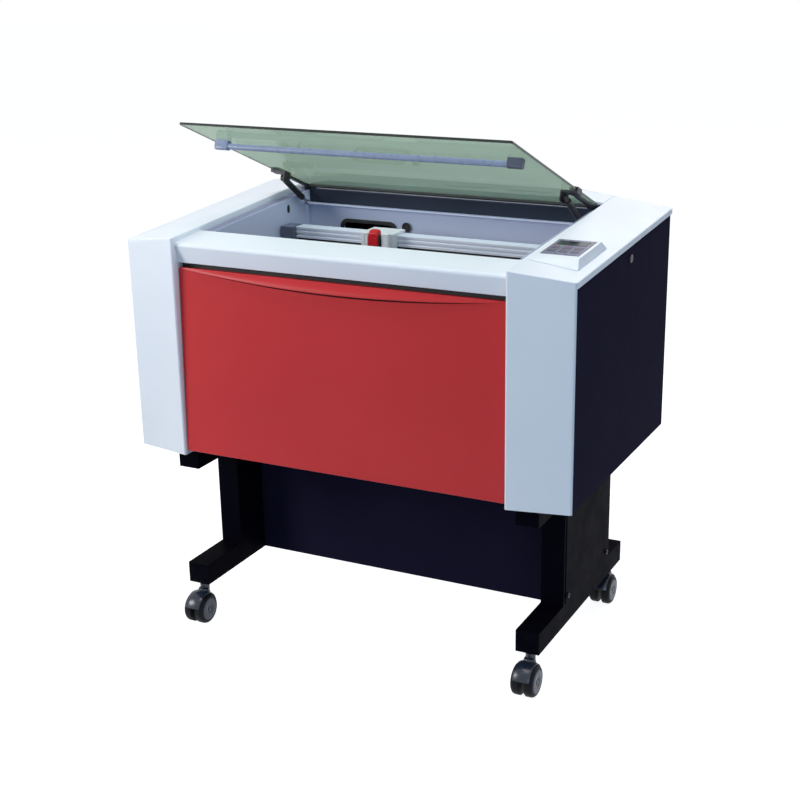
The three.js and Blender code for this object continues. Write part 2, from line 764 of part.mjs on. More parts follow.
// Lid, drawn closed and level about its hinge axis, then tilted to its rest pose
function addLid() {
  lidGroup.position.set(0, hingeY, hingeZ);
  lidGroup.rotation.x = -lidAngle;
  const glassZ = [glassLift, glassLift + glassThickness];
  const lidLength = hingeY - glassStart - fromFront(lidFrontSetback);
  const glass = rounded(2 * glassHalf, lidLength, 5, 0, -glassStart - lidLength / 2);
  add('lid_glass', alongZ(glass, ...glassZ), glassMaterial(), lidGroup);

  const armTop = glassLift - gap;
  const armZ = [armTop - armThickness, armTop];
  const clampY = centred(-clampCentre, clampLength);
  const clampOuter = glassHalf + gap + sheet;
  const jaw = glassZ[1] + gap;
  const tabX = [strutX - strutRadius - gap - sheet, strutX - strutRadius - gap];
  const arm = join(
    box(centred(armX, armWidth), [clampY[1] - 1, -eyeRadius + 1], armZ),
    box(centred(armX, eyeWidth), [-eyeRadius - 4, 0], [-3, armTop]),
    rod('x', eyeRadius, ...centred(armX, eyeWidth), 0, 0),
    box([tabX[0], clampOuter], clampY, armZ),
    box([glassHalf + gap, clampOuter], clampY, [armZ[0], jaw + sheet]),
    box([armX - 4, clampOuter], clampY, [jaw, jaw + sheet]),
    box(tabX, clampY, [-strutPivotDrop - 10, armTop]),
    rod('x', strutPinRadius, tabX[0], strutX + strutEyeWidth / 2 + 1, -clampCentre, -strutPivotDrop, 16),
  );
  const pinHole = rod('x', hingePinRadius + gap, armX - eyeWidth, armX + eyeWidth, 0, 0, 16);
  addPair((side) => `lid_arm_${side}`, cut(arm, pinHole), 'black', lidGroup);

  const lampHalf = wellHalf - 4;
  const capBottom = -lampDrop - lampRadius - 2;
  const cap = box([lampHalf - lampCapLength, lampHalf], centred(-lampFromHinge, 18), [capBottom, armTop]);
  const tube = rod('x', lampRadius, -lampHalf + 5, lampHalf - 5, -lampFromHinge, -lampDrop);
  add('lid_lamp', join(tube, cap, mirrored(cap)), 'aluminium', lidGroup);
  machine.add(lidGroup);
}

// Gas struts: the rod turns on the well wall's pin, the cylinder reaches the pin on the lid's tab
function addStruts() {
  const across = centred(0, strutEyeWidth);
  const rodEye = join(
    rod('x', strutEyeRadius - 1, ...across, 0, 0),
    rod('z', rodRadius, 4, rodLength, 0, 0),
  );
  const rodPiece = cut(rodEye, rod('x', strutPinRadius + gap, -9, 9, 0, 0, 16));
  const cylinderEye = join(
    rod('x', strutEyeRadius, ...across, 0, strutLength),
    rod('z', strutRadius, cylinderStart, strutLength - 5, 0, 0),
  );
  const boreEnd = rodLength + cylinderStart;
  const cylinderPiece = cut(
    cylinderEye,
    rod('z', rodRadius + gap, cylinderStart - 1, boreEnd, 0, 0),
    rod('x', strutPinRadius + openPivotClearance, -9, 9, 0, strutLength, 16),
  );
  for (const [side, sign] of sideRows) {
    const strut = new THREE.Group();
    strut.position.set(sign * strutX, lowerPivot.y, lowerPivot.z);
    strut.rotation.x = Math.PI / 2 - strutSlope;
    add(`strut_rod_${side}`, rodPiece, 'black', strut);
    add(`strut_cylinder_${side}`, cylinderPiece, 'black', strut);
    machine.add(strut);
  }
}

// Y rails on the well walls, and the carriages that run on them and carry the belt pulleys
function addYAxis() {
  const railX = [wellHalf - gap - yRailWidth, wellHalf - gap];
  const railY = [crossbarBackY + 22, wellBackY - 15 - gap];
  const rail = box(railX, railY, [yRailTop - yRailHeight, yRailTop]);
  addPair((side) => `${side}_y_rail`, rail, 'steel');

  const carriageX = [beamHalf + gap, beamHalf + gap + carriageWidth];
  const carriageY = [gantryY - 15, gantryY - 15 + carriageDepth];
  const block = box(carriageX, carriageY, [yRailTop + gap, beamTop + 1]);
  const hook = box([railX[0] - gap - 6, railX[0] - gap], carriageY, [yRailTop - 14, yRailTop + gap + 1]);
  const pulley = rod('y', pulleyRadius, carriageY[1] - 1, beltY[1] + 1.5, pulleyX, pulleyZ);
  addPair((side) => `${side}_y_carriage`, join(block, hook, pulley), 'black');
}

// Gantry: a slotted hollow profile, with its drive belt behind it
function addGantry() {
  const beamY = [gantryY, gantryY + beamDepth];
  const body = box([-beamHalf, beamHalf], beamY, [beamBottom, beamTop]);
  const through = [-beamHalf - 1, beamHalf + 1];
  const hollowZ = [beamBottom + beamWall, beamTop - beamWall];
  const hollow = box(through, [beamY[0] + beamWall, beamY[1] - beamWall], hollowZ);
  const slot = (y, z) => box(through, centred(y, slotSize), centred(z, slotSize));
  const edge = slotSize / 2 - slotDepth;
  const slots = [
    slot(beamY[0] - edge, beamBottom + beamHeight * 0.3),
    slot(beamY[0] - edge, beamBottom + beamHeight * 0.7),
    slot(beamY[0] + beamDepth * 0.3, beamTop + edge),
    slot(beamY[0] + beamDepth * 0.7, beamTop + edge),
  ];
  add('gantry_beam', cut(body, hollow, ...slots), 'aluminium');

  const innerRadius = pulleyRadius + gap;
  const outerRadius = innerRadius + beltThickness;
  const loop = (radius) => rounded(2 * (pulleyX + radius), 2 * radius, radius, 0, pulleyZ);
  const inside = alongY(loop(innerRadius), beltY[0] - 1, beltY[1] + 1);
  add('x_belt', cut(alongY(loop(outerRadius), ...beltY), inside), 'rubber');
}

// Head: the carriage that hooks over the beam, the laser head in front of it and its nozzle
function addHead() {
  const width = centred(headOffset, headWidth);
  const blockY = [gantryY - gap - headBlockDepth, gantryY - gap];
  const blockZ = [beamBottom - 17, beamTop + 7];
  const top = beamTop + gap;
  const carriage = join(
    box(width, blockY, blockZ),
    box(width, [blockY[1] - 1, beltY[1]], [top, blockZ[1]]),
    box(centred(headOffset, 30), [beltY[0] + gap, beltY[1]], [beltTop + gap, blockZ[1]]),
  );
  add('head_carriage', carriage, 'white');
  const coverY = [blockY[0] - gap - headCoverDepth, blockY[0] - gap];
  const coverZ = [beamBottom - 32, beamTop + 18];
  const cover = alongX(
    outline([
      [coverY[1], coverZ[0]],
      [coverY[1], coverZ[1]],
      [coverY[0] + 6, coverZ[1]],
      [coverY[0], coverZ[1] - 8],
      [coverY[0], coverZ[0]],
    ]),
    ...centred(headOffset, headCoverWidth),
  );
  add('laser_head', cover, 'red');
  const nozzleTop = coverZ[0] - gap;
  const profile = [
    [0, 0],
    [3, 0],
    [9, nozzleHeight - 4],
    [9, nozzleHeight],
    [0, nozzleHeight],
  ];
  const nozzle = new THREE.LatheGeometry(outline(profile).getPoints(), 20).rotateX(Math.PI / 2);
  const middleY = (coverY[0] + coverY[1]) / 2;
  add('focus_nozzle', nozzle.translate(headOffset, middleY, nozzleTop - nozzleHeight), 'steel');
}

// Bed: lift frame with four guide posts, the table that rides on them and its honeycomb insert
function addBed() {
  const half = wellHalf - tableSideGap;
  const postX = half - rimWide;
  const frontRow = fromFront(tableFront + rimWide / 2);
  const tableBack = wellBackY - tableBackGap;
  const backRow = tableBack - rimWide / 2;
  const places = corners.map(([x, y]) => [x * postX, y < 0 ? frontRow : backRow]);
  const frameZ = [panTop + gap, panTop + gap + liftBeam];
  const crossBars = [frontRow, backRow].map((y) => box([-half, half], centred(y, 26), frameZ));
  const spine = box(centred(0, 60), [frontRow, backRow], frameZ);
  const postZ = [frameZ[0] + 1, beamBottom - postTopGap];
  const posts = places.map(([x, y]) => rod('z', postRadius, ...postZ, x, y, 16));
  add('lift_frame', join(...crossBars, spine, ...posts), 'steel');

  const slabY = [fromFront(tableFront), tableBack];
  const slab = box([-half, half], slabY, [tableTop - tableThickness, tableTop]);
  const pocketX = half - rimNarrow;
  const pocketY = [slabY[0] + rimWide, slabY[1] - rimWide];
  const pocket = box([-pocketX, pocketX], pocketY, [tableTop - honeycombDepth, tableTop + 1]);
  const holes = places.map(([x, y]) =>
    rod('z', postRadius + postClearance, tableTop - tableThickness - 1, tableTop + 1, x, y, 16),
  );
  add('work_table', cut(slab, pocket, ...holes), 'aluminium');
  const inset = 0.5;
  const insert = box(
    [-pocketX + inset, pocketX - inset],
    [pocketY[0] + inset, pocketY[1] - inset],
    [tableTop - honeycombDepth + gap, tableTop],
  );
  add('honeycomb_insert', insert, 'aluminium');
}

// Laser source in the rear compartment and power supply in the right column
function addInsideUnits() {
  const sourceY = [wellBackY + sheet + 6, backY - sheet - 6];
  const sourceZ = [panTop + gap, panTop + gap + sourceHeight];
  const source = box(centred(0, sourceLength), sourceY, sourceZ);
  const grooveZ = [sourceZ[1] - 24, sourceZ[1] + 1];
  const grooves = [-4, -3, -2, -1, 0, 1, 2, 3, 4].map((step) =>
    box(centred((step * sourceLength) / 10, 14), [sourceY[0] - 1, sourceY[1] + 1], grooveZ),
  );
  add('laser_source', cut(source, ...grooves), 'aluminium');
  const supplyX = [innerX + coverWall + 8, outerX - coverWall - sheet - 10];
  const supplyY = [fromFront(220), fromFront(470)];
  const supplyZ = [panTop + gap, panTop + 150];
  const inset = ([low, high]) => [low + supplySheet, high - supplySheet];
  const middle = [(supplyX[0] + supplyX[1]) / 2, (supplyY[0] + supplyY[1]) / 2];
  const louvreZ = [supplyZ[1] - supplySheet - 1, supplyZ[1] + 1];
  const louvres = [-3, -2, -1, 0, 1, 2, 3].map((step) =>
    box(centred(middle[0], 80), centred(middle[1] + step * 26, 6), louvreZ),
  );
  const space = box(inset(supplyX), inset(supplyY), inset(supplyZ));
  add('power_supply', cut(box(supplyX, supplyY, supplyZ), space, ...louvres), 'steel');
}

// Keypad console on the right column, level across the machine, with its plate and six keys
function addConsole() {
  const tilt = Math.atan(consoleTilt);
  const middle = [innerX + 67.5, fromFront(190.5)];
  const topAt = (x, y) => bodyTop + consoleHeight + consoleTilt * (y - fromFront(117));
  const seatAt = (x, y) => columnTop(x, y) + gap;
  const base = [
    [innerX + 11, innerX + 124],
    [fromFront(97), fromFront(281)],
  ];
  const crest = [
    [innerX + 16, innerX + 119],
    [fromFront(117), fromFront(257)],
  ];
  const block = taperedBlock([...base, seatAt], [...crest, topAt]);
  const shrink = ([low, high], by) => [low + by, high - by];
  const hollow = taperedBlock(
    [...base.map((range) => shrink(range, 3)), (x, y) => seatAt(x, y) - 5],
    [...crest.map((range) => shrink(range, 3)), (x, y) => topAt(x, y) - 2.5],
  );
  const board = new THREE.Group();
  board.position.set(middle[0], middle[1], topAt(0, middle[1]));
  board.rotation.x = tilt;
  board.updateMatrix();
  const opening = box(centred(0, keypadWidth + 2 * gap), centred(0, keypadLength + 2 * gap), [-4, 4]);
  add('keypad_console', cut(block, hollow, opening.applyMatrix4(board.matrix)), 'white');
  const keyPlaces = [-1, 0, 1].flatMap((column) =>
    [0, 1].map((row) => [column * keyPitch, -32 + row * keyPitch]),
  );
  const plate = box(centred(0, keypadWidth), centred(0, keypadLength), [0.6 - keypadThickness, 0.6]);
  const holeSize = keySize + 2 * gap;
  const holes = keyPlaces.map(([x, y]) => box(centred(x, holeSize), centred(y, holeSize), [-5, 5]));
  add('keypad_plate', cut(plate, ...holes), 'keypad', board);
  keyPlaces.forEach(([x, y], i) => {
    const top = 0.6 + keyProud;
    add(`key_${i + 1}`, box(centred(x, keySize), centred(y, keySize), [top - keyHeight, top]), 'key', board);
  });
  machine.add(board);
}

// Oval lid sensor on the left well wall
function addInterlock() {
  const oval = new THREE.Shape();
  const sensorY = hingeY - 122;
  oval.absellipse(sensorY, lowerPivot.z - 5, 6, 11, 0, Math.PI * 2);
  add('lid_interlock', alongX(oval, -wellHalf + gap, -wellHalf + sensorProud), 'rubber');
}

// Places shared by several pieces
const doorAxis = {
  y: fromFront(doorSetback + doorThickness / 2),
  z: bodyBottom + doorBottomGap + doorThickness / 2,
};
const armX = glassHalf - armInset - armWidth / 2;
const strutX = wellHalf - strutInset;
const lowerPivot = { y: hingeY - lowerPivotFromHinge, z: hingeZ - lowerPivotDrop };
const upperPivot = {
  y: hingeY - clampCentre * Math.cos(lidAngle) - strutPivotDrop * Math.sin(lidAngle),
  z: hingeZ + clampCentre * Math.sin(lidAngle) - strutPivotDrop * Math.cos(lidAngle),
};
const strutLength = Math.hypot(lowerPivot.y - upperPivot.y, upperPivot.z - lowerPivot.z);
const strutSlope = Math.atan2(upperPivot.z - lowerPivot.z, lowerPivot.y - upperPivot.y);
const portWidth = 146;
const portHeight = 30;
const portRadius = 12;
const portX = -wellHalf + 175;
const portZ = railBottom - 61;
const manifoldZ = bodyBottom + 368;
const inletX = innerX - inletWidth / 2 - 12;
const inletZ = bodyBottom + 70;
const rockerZ = inletZ + 18;
const rocker = { width: 18, height: 20, pivotY: backY - 3 };
const beamHalf = wellHalf - 3 - carriageWidth - 2 * gap;
const pulleyX = beamHalf + gap + 16;
const pulleyZ = beamBottom + 11;
const beltY = [gantryY + beamDepth + 1, gantryY + beamDepth + 1 + beltWidth];
const beltTop = pulleyZ + pulleyRadius + gap + beltThickness;

addStand();
addCasters();
addBasePan();
addColumnCovers();
addSidePanels();
addWell();
addRear();
addInlet();
addCrossbar();
addDoor();
addHingeRail();
addLid();
addStruts();
addYAxis();
addGantry();
addHead();
addBed();
addInsideUnits();
addConsole();
addInterlock();

export default machine;
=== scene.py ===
import json
import math

import bmesh
import bpy
from mathutils import Matrix, Vector


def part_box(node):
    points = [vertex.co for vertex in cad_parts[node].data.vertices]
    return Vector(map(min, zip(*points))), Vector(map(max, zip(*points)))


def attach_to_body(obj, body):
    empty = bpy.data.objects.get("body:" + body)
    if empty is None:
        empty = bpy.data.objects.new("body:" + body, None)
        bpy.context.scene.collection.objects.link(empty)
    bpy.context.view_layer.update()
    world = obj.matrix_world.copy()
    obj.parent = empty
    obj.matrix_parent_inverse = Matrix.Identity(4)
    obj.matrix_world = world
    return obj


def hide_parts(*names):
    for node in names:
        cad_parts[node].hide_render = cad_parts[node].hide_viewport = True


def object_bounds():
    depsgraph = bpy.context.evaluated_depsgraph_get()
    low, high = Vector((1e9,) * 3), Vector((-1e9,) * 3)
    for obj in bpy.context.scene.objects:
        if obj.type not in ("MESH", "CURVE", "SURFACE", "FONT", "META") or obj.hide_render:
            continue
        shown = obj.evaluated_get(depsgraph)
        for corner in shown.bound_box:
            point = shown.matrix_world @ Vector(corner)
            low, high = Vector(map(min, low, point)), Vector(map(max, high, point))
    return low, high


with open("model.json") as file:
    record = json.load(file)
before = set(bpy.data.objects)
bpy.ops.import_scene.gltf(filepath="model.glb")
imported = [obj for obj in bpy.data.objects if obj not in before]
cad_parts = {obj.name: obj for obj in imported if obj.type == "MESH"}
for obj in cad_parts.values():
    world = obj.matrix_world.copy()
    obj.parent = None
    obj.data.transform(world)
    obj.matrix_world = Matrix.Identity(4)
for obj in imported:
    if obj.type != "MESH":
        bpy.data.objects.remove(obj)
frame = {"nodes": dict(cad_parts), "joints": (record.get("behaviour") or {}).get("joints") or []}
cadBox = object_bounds()
print("frame loaded")

mm = 0.001
near = 1 * mm  # closer than this counts as the same place
mergeGap = 0.02 * mm
flatAngle = math.radians(0.6)
sides = {"left": -1, "right": 1}


# small tools for the modelling below


def useOnly(obj):
    if bpy.context.object and bpy.context.object.mode != "OBJECT":
        bpy.ops.object.mode_set(mode="OBJECT")
    bpy.ops.object.select_all(action="DESELECT")
    obj.select_set(True)
    bpy.context.view_layer.objects.active = obj


def settle(obj, name):
    obj.name = name
    obj.data.name = name
    useOnly(obj)
    bpy.ops.object.transform_apply(location=True, rotation=True, scale=True)
    return obj


def addBlock(name, low, high):
    bpy.ops.object.select_all(action="DESELECT")
    low, high = Vector(low), Vector(high)
    bpy.ops.mesh.primitive_cube_add(size=1, location=(low + high) / 2)
    obj = bpy.context.object
    obj.scale = high - low
    return settle(obj, name)


turns = {"x": (0, math.pi / 2, 0), "y": (math.pi / 2, 0, 0), "z": (0, 0, 0)}
order = {"x": (0, 1, 2), "y": (1, 0, 2), "z": (2, 0, 1)}  # along, then the two across


def addRound(name, axis, radius, start, end, across, vertices, tip=None):
    # a bar along one axis, or a cone where tip gives the radius at its end
    bpy.ops.object.select_all(action="DESELECT")
    place = [0, 0, 0]
    along, first, second = order[axis]
    place[along] = (start + end) / 2
    place[first], place[second] = across
    ends = {"radius1": radius, "radius2": radius if tip is None else tip}
    if axis == "y":
        ends = {"radius1": ends["radius2"], "radius2": ends["radius1"]}
    bpy.ops.mesh.primitive_cone_add(
        vertices=vertices, depth=end - start, location=place, rotation=turns[axis], **ends
    )
    return settle(bpy.context.object, name)


def startPick(obj, kind):
    if obj.mode != "EDIT":
        useOnly(obj)
        bpy.ops.object.mode_set(mode="EDIT")
    bpy.ops.mesh.select_mode(type=kind)
    bpy.ops.mesh.select_all(action="DESELECT")
    return bmesh.from_edit_mesh(obj.data)


def pickFaces(obj, test):
    mesh = startPick(obj, "FACE")
    for face in mesh.faces:
        if test(face.calc_center_median(), face.normal):
            face.select_set(True)
    bmesh.update_edit_mesh(obj.data)


def pickEdges(obj, test):
    mesh = startPick(obj, "EDGE")
    for edge in mesh.edges:
        if test(edge.verts[0].co, edge.verts[1].co):
            edge.select_set(True)
    bmesh.update_edit_mesh(obj.data)


def facing(axis, sign=0, least=0.9):
    # for pickFaces: faces that look along the axis, or both ways where no sign is given
    def test(centre, normal):
        share = getattr(normal, axis)
        return (share * sign if sign else abs(share)) > least
    return test


def spanning(axis, least):
    # for pickEdges: edges that reach further than this along the axis
    return lambda a, b: abs(getattr(a, axis) - getattr(b, axis)) > least


def bevelPicked(width, segments):
    bpy.ops.mesh.bevel(offset=width, segments=segments, affect="EDGES", clamp_overlap=True)


def insetPicked(thickness, depth=0, apart=False):
    bpy.ops.mesh.inset(thickness=thickness, depth=depth, use_individual=apart)


def pushPicked(x=0, y=0, z=0):
    bpy.ops.mesh.extrude_region_move(TRANSFORM_OT_translate={"value": (x, y, z)})


def leaveEdit():
    bpy.ops.object.mode_set(mode="OBJECT")


def sinkEnd(obj, axis, sign, rim, depth):
    # sinks the end that looks along the axis inside a rim, or raises it where depth is below 0
    pickFaces(obj, facing(axis, sign))
    insetPicked(rim)
    pushPicked(**{axis: -sign * depth})
    leaveEdit()


def openRing(obj, axis, rim):
    # opens a block or bar right through and leaves a rim
    pickFaces(obj, facing(axis))
    insetPicked(rim, apart=True)
    bpy.ops.mesh.bridge_edge_loops()
    leaveEdit()


def bevelEdges(obj, width, segments, angle=35):
    useOnly(obj)
    bevel = obj.modifiers.new("edges", "BEVEL")
    bevel.width = width
    bevel.segments = segments
    bevel.limit_method = "ANGLE"
    bevel.angle_limit = math.radians(angle)
    bpy.ops.object.modifier_apply(modifier=bevel.name)


def roundOff(obj, width, segments, angle=35):
    # softens every edge that turns more than the angle, and keeps flat faces flat
    bevelEdges(obj, width, segments, angle)
    bpy.ops.object.shade_smooth()
    flat = obj.modifiers.new("flats", "WEIGHTED_NORMAL")
    flat.keep_sharp = True
    flat.weight = 100
    bpy.ops.object.modifier_apply(modifier=flat.name)


def joinAll(objs, name):
    useOnly(objs[0])
    for obj in objs[1:]:
        obj.select_set(True)
    bpy.ops.object.join()
    obj = bpy.context.object
    obj.name = name
    obj.data.name = name
    return obj


def copyOfNode(node, name):
    # a merged copy of a part of the frame, with its flat faces in one piece
    source = frame["nodes"][node]
    obj = bpy.data.objects.new(name, source.data.copy())
    bpy.context.scene.collection.objects.link(obj)
    obj.data.materials.clear()
    useOnly(obj)
    bpy.ops.object.mode_set(mode="EDIT")
    bpy.ops.mesh.select_all(action="SELECT")
    bpy.ops.mesh.remove_doubles(threshold=mergeGap)
    bpy.ops.mesh.dissolve_limited(angle_limit=flatAngle)
    leaveEdit()
    return obj


def copyPiece(obj, name, shift):
    other = bpy.data.objects.new(name, obj.data.copy())
    bpy.context.scene.collection.objects.link(other)
    other.data.transform(Matrix.Translation(Vector(shift)))
    return other


def mirrorPiece(obj, name):
    other = copyPiece(obj, name, (0, 0, 0))
    other.data.transform(Matrix.Scale(-1, 4, (1, 0, 0)))
    other.data.flip_normals()
    return other


def tiltAbout(obj, centre, angle):
    # turns the mesh about a line along X through the centre
    turn = Matrix.Translation(centre) @ Matrix.Rotation(angle, 4, "X") @ Matrix.Translation(-Vector(centre))
    obj.data.transform(turn)


def pivotOf(joint):
    return Vector(next(entry["pos_m"] for entry in frame["joints"] if entry["name"] == joint))


def attach(obj, body, slotName, *nodes):
    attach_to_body(obj, body)
    if nodes:
        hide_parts(*nodes)


def place(obj, body, slotName, material, *nodes):
    obj.data.materials.clear()
    obj.data.materials.append(material)
    attach(obj, body, slotName, *nodes)


# materials


def newTree(name):
    material = bpy.data.materials.new(name)
    material.use_nodes = True
    tree = material.node_tree
    tree.nodes.clear()
    out = tree.nodes.new("ShaderNodeOutputMaterial")
    shader = tree.nodes.new("ShaderNodeBsdfPrincipled")
    tree.links.new(shader.outputs["BSDF"], out.inputs["Surface"])
    where = tree.nodes.new("ShaderNodeTexCoord")
    return material, tree, shader, where.outputs["Object"]


def addNoise(tree, where, scale, detail, stretch=None):
    if stretch:
        mapping = tree.nodes.new("ShaderNodeMapping")
        mapping.inputs["Scale"].default_value = stretch
        tree.links.new(where, mapping.inputs["Vector"])
        where = mapping.outputs["Vector"]
    noise = tree.nodes.new("ShaderNodeTexNoise")
    noise.inputs["Scale"].default_value = scale
    noise.inputs["Detail"].default_value = detail
    tree.links.new(where, noise.inputs["Vector"])
    return noise.outputs["Fac"]


def spread(tree, source, low, high, fromLow=0.3, fromHigh=0.7):
    node = tree.nodes.new("ShaderNodeMapRange")
    node.inputs["From Min"].default_value = fromLow
    node.inputs["From Max"].default_value = fromHigh
    node.inputs["To Min"].default_value = low
    node.inputs["To Max"].default_value = high
    tree.links.new(source, node.inputs["Value"])
    return node.outputs["Result"]


def mixColours(tree, factor, first, second):
    node = tree.nodes.new("ShaderNodeMix")
    node.data_type = "RGBA"
    tree.links.new(factor, node.inputs["Factor"])
    for socket, value in ((node.inputs[6], first), (node.inputs[7], second)):
        if isinstance(value, bpy.types.NodeSocket):
            tree.links.new(value, socket)
        else:
            socket.default_value = (*value, 1)
    return node.outputs[2]


def addBump(tree, shader, height, strength, distance):
    node = tree.nodes.new("ShaderNodeBump")
    node.inputs["Strength"].default_value = strength
    node.inputs["Distance"].default_value = distance
    tree.links.new(height, node.inputs["Height"])
    tree.links.new(node.outputs["Normal"], shader.inputs["Normal"])


# scale of each pattern in a finish, and how deep its bumps are
finishLook = {"cloud": 5, "gloss": 22, "speck": 60, "peelDepth": 0.2 * mm, "lineDepth": 0.1 * mm,
              "grain": 1600, "grainDepth": 0.1 * mm, "grainCloud": 14, "grainGloss": 90,
              "smear": 4, "smudge": 18, "ripple": 300}


def paint(name, look):
    # sprayed or powder coated sheet: faint cloudiness, orange peel and uneven gloss
    material, tree, shader, where = newTree(name)
    cloud = spread(tree, addNoise(tree, where, look.get("cloud", finishLook["cloud"]), 3), 0, 1)
    colour = mixColours(tree, cloud, look["colour"], look["shade"])
    if "dust" in look:
        low, high = look["dustHeight"]
        split = tree.nodes.new("ShaderNodeSeparateXYZ")
        tree.links.new(where, split.inputs["Vector"])
        height = spread(tree, split.outputs["Z"], look["dustAmount"], 0, low, high)
        speck = spread(tree, addNoise(tree, where, finishLook["speck"], 4), 0, 1, 0.4, 0.65)
        both = tree.nodes.new("ShaderNodeMath")
        both.operation = "MULTIPLY"
        tree.links.new(height, both.inputs[0])
        tree.links.new(speck, both.inputs[1])
        colour = mixColours(tree, both.outputs["Value"], colour, look["dust"])
    tree.links.new(colour, shader.inputs["Base Color"])
    rough = look["rough"]
    uneven = addNoise(tree, where, finishLook["gloss"], 3)
    gloss = spread(tree, uneven, rough - look["spread"], rough + look["spread"])
    tree.links.new(gloss, shader.inputs["Roughness"])
    peel = addNoise(tree, where, look["peelScale"], 2)
    addBump(tree, shader, peel, look["peel"], finishLook["peelDepth"])
    shader.inputs["Specular IOR Level"].default_value = look.get("specular", 0.5)
    return material


def metal(name, look):
    # machined or drawn metal: fine lines along one direction, in gloss and height
    material, tree, shader, where = newTree(name)
    lines = addNoise(tree, where, 1, 3, look["lines"])
    colour = mixColours(tree, spread(tree, lines, 0, 1), look["colour"], look["shade"])
    tree.links.new(colour, shader.inputs["Base Color"])
    rough = look["rough"]
    tree.links.new(spread(tree, lines, rough - 0.08, rough + 0.1), shader.inputs["Roughness"])
    addBump(tree, shader, lines, look["depth"], finishLook["lineDepth"])
    shader.inputs["Metallic"].default_value = look.get("metallic", 1)
    return material


def moulded(name, look):
    # moulded plastic or rubber: spark-eroded grain
    material, tree, shader, where = newTree(name)
    cloud = spread(tree, addNoise(tree, where, finishLook["grainCloud"], 2), 0, 1)
    tree.links.new(mixColours(tree, cloud, look["colour"], look["shade"]), shader.inputs["Base Color"])
    rough = look["rough"]
    gloss = spread(tree, addNoise(tree, where, finishLook["grainGloss"], 3), rough - 0.06, rough + 0.08)
    tree.links.new(gloss, shader.inputs["Roughness"])
    cells = tree.nodes.new("ShaderNodeTexVoronoi")
    cells.inputs["Scale"].default_value = finishLook["grain"]
    tree.links.new(where, cells.inputs["Vector"])
    addBump(tree, shader, cells.outputs["Distance"], look["grain"], finishLook["grainDepth"])
    shader.inputs["Specular IOR Level"].default_value = look.get("specular", 0.5)
    return material


def tintedGlass(name, look):
    material, tree, shader, where = newTree(name)
    smear = spread(tree, addNoise(tree, where, finishLook["smear"], 4, (1, 3, 1)), 0, 1)
    tree.links.new(mixColours(tree, smear, look["colour"], look["shade"]), shader.inputs["Base Color"])
    smudges = spread(tree, addNoise(tree, where, finishLook["smudge"], 3), 0, look["smudge"], 0.45, 0.8)
    tree.links.new(smudges, shader.inputs["Roughness"])
    shader.inputs["Transmission Weight"].default_value = look["clear"]
    shader.inputs["IOR"].default_value = look["ior"]
    # lamps reach what lies under the plate
    out = shader.outputs["BSDF"].links[0].to_node
    passing = tree.nodes.new("ShaderNodeBsdfTransparent")
    passing.inputs["Color"].default_value = (*look["passes"], 1)
    rays = tree.nodes.new("ShaderNodeLightPath")
    mix = tree.nodes.new("ShaderNodeMixShader")
    tree.links.new(rays.outputs["Is Shadow Ray"], mix.inputs["Fac"])
    tree.links.new(shader.outputs["BSDF"], mix.inputs[1])
    tree.links.new(passing.outputs["BSDF"], mix.inputs[2])
    tree.links.new(mix.outputs["Shader"], out.inputs["Surface"])
    return material


def shining(name, colour, strength):
    material, tree, shader, where = newTree(name)
    ripple = spread(tree, addNoise(tree, where, finishLook["ripple"], 1), 0.85, 1)
    dim = tree.nodes.new("ShaderNodeMix")
    dim.data_type = "RGBA"
    tree.links.new(ripple, dim.inputs["Factor"])
    dim.inputs[6].default_value = (0, 0, 0, 1)
    dim.inputs[7].default_value = (*colour, 1)
    tree.links.new(dim.outputs[2], shader.inputs["Emission Color"])
    tree.links.new(dim.outputs[2], shader.inputs["Base Color"])
    shader.inputs["Emission Strength"].default_value = strength
    shader.inputs["Roughness"].default_value = 0.3
    return material


whitePaint = paint("whitePaint", {
    "colour": (0.80, 0.84, 0.90), "shade": (0.77, 0.815, 0.88), "rough": 0.42, "spread": 0.06,
    "peel": 0.12, "peelScale": 1300})
# the white paint made darker and bluer for the well walls: painted shade inside the well
shadedWellPaint = paint("shadedWellPaint", {
    "colour": (0.58, 0.63, 0.84), "shade": (0.55, 0.60, 0.81), "rough": 0.45, "spread": 0.06,
    "peel": 0.1, "peelScale": 900})
redPaint = paint("redPaint", {
    "colour": (0.55, 0.022, 0.026), "shade": (0.51, 0.019, 0.023), "rough": 0.38, "spread": 0.05,
    "peel": 0.06, "peelScale": 800, "cloud": 3, "specular": 0.3})
navyPaint = paint("navyPaint", {
    "colour": (0.016, 0.014, 0.034), "shade": (0.014, 0.012, 0.031), "rough": 0.55, "spread": 0.02,
    "peel": 0.1, "peelScale": 800, "specular": 0.003})
blackPaint = paint("blackPaint", {
    "colour": (0.003, 0.003, 0.006), "shade": (0.002, 0.002, 0.005), "rough": 0.48, "spread": 0.06,
    "peel": 0.12, "peelScale": 800, "specular": 0.006,
    "dust": (0.06, 0.06, 0.07), "dustAmount": 0.1, "dustHeight": (0.0, 0.2)})
railPaint = paint("railPaint", {
    "colour": (0.038, 0.046, 0.068), "shade": (0.032, 0.039, 0.058), "rough": 0.42, "spread": 0.06,
    "peel": 0.08, "peelScale": 800, "specular": 0.02})
headWhite = paint("headWhite", {
    "colour": (0.80, 0.83, 0.86), "shade": (0.74, 0.77, 0.81), "rough": 0.35, "spread": 0.05,
    "peel": 0.08, "peelScale": 1600})
aluminium = metal("aluminium", {
    "colour": (0.80, 0.86, 0.96), "shade": (0.72, 0.78, 0.90), "rough": 0.45, "depth": 0.08,
    "lines": (6, 900, 900), "metallic": 0.3})
plateAluminium = metal("plateAluminium", {
    "colour": (0.66, 0.68, 0.72), "shade": (0.58, 0.60, 0.64), "rough": 0.36, "depth": 0.12,
    "lines": (6, 700, 700)})
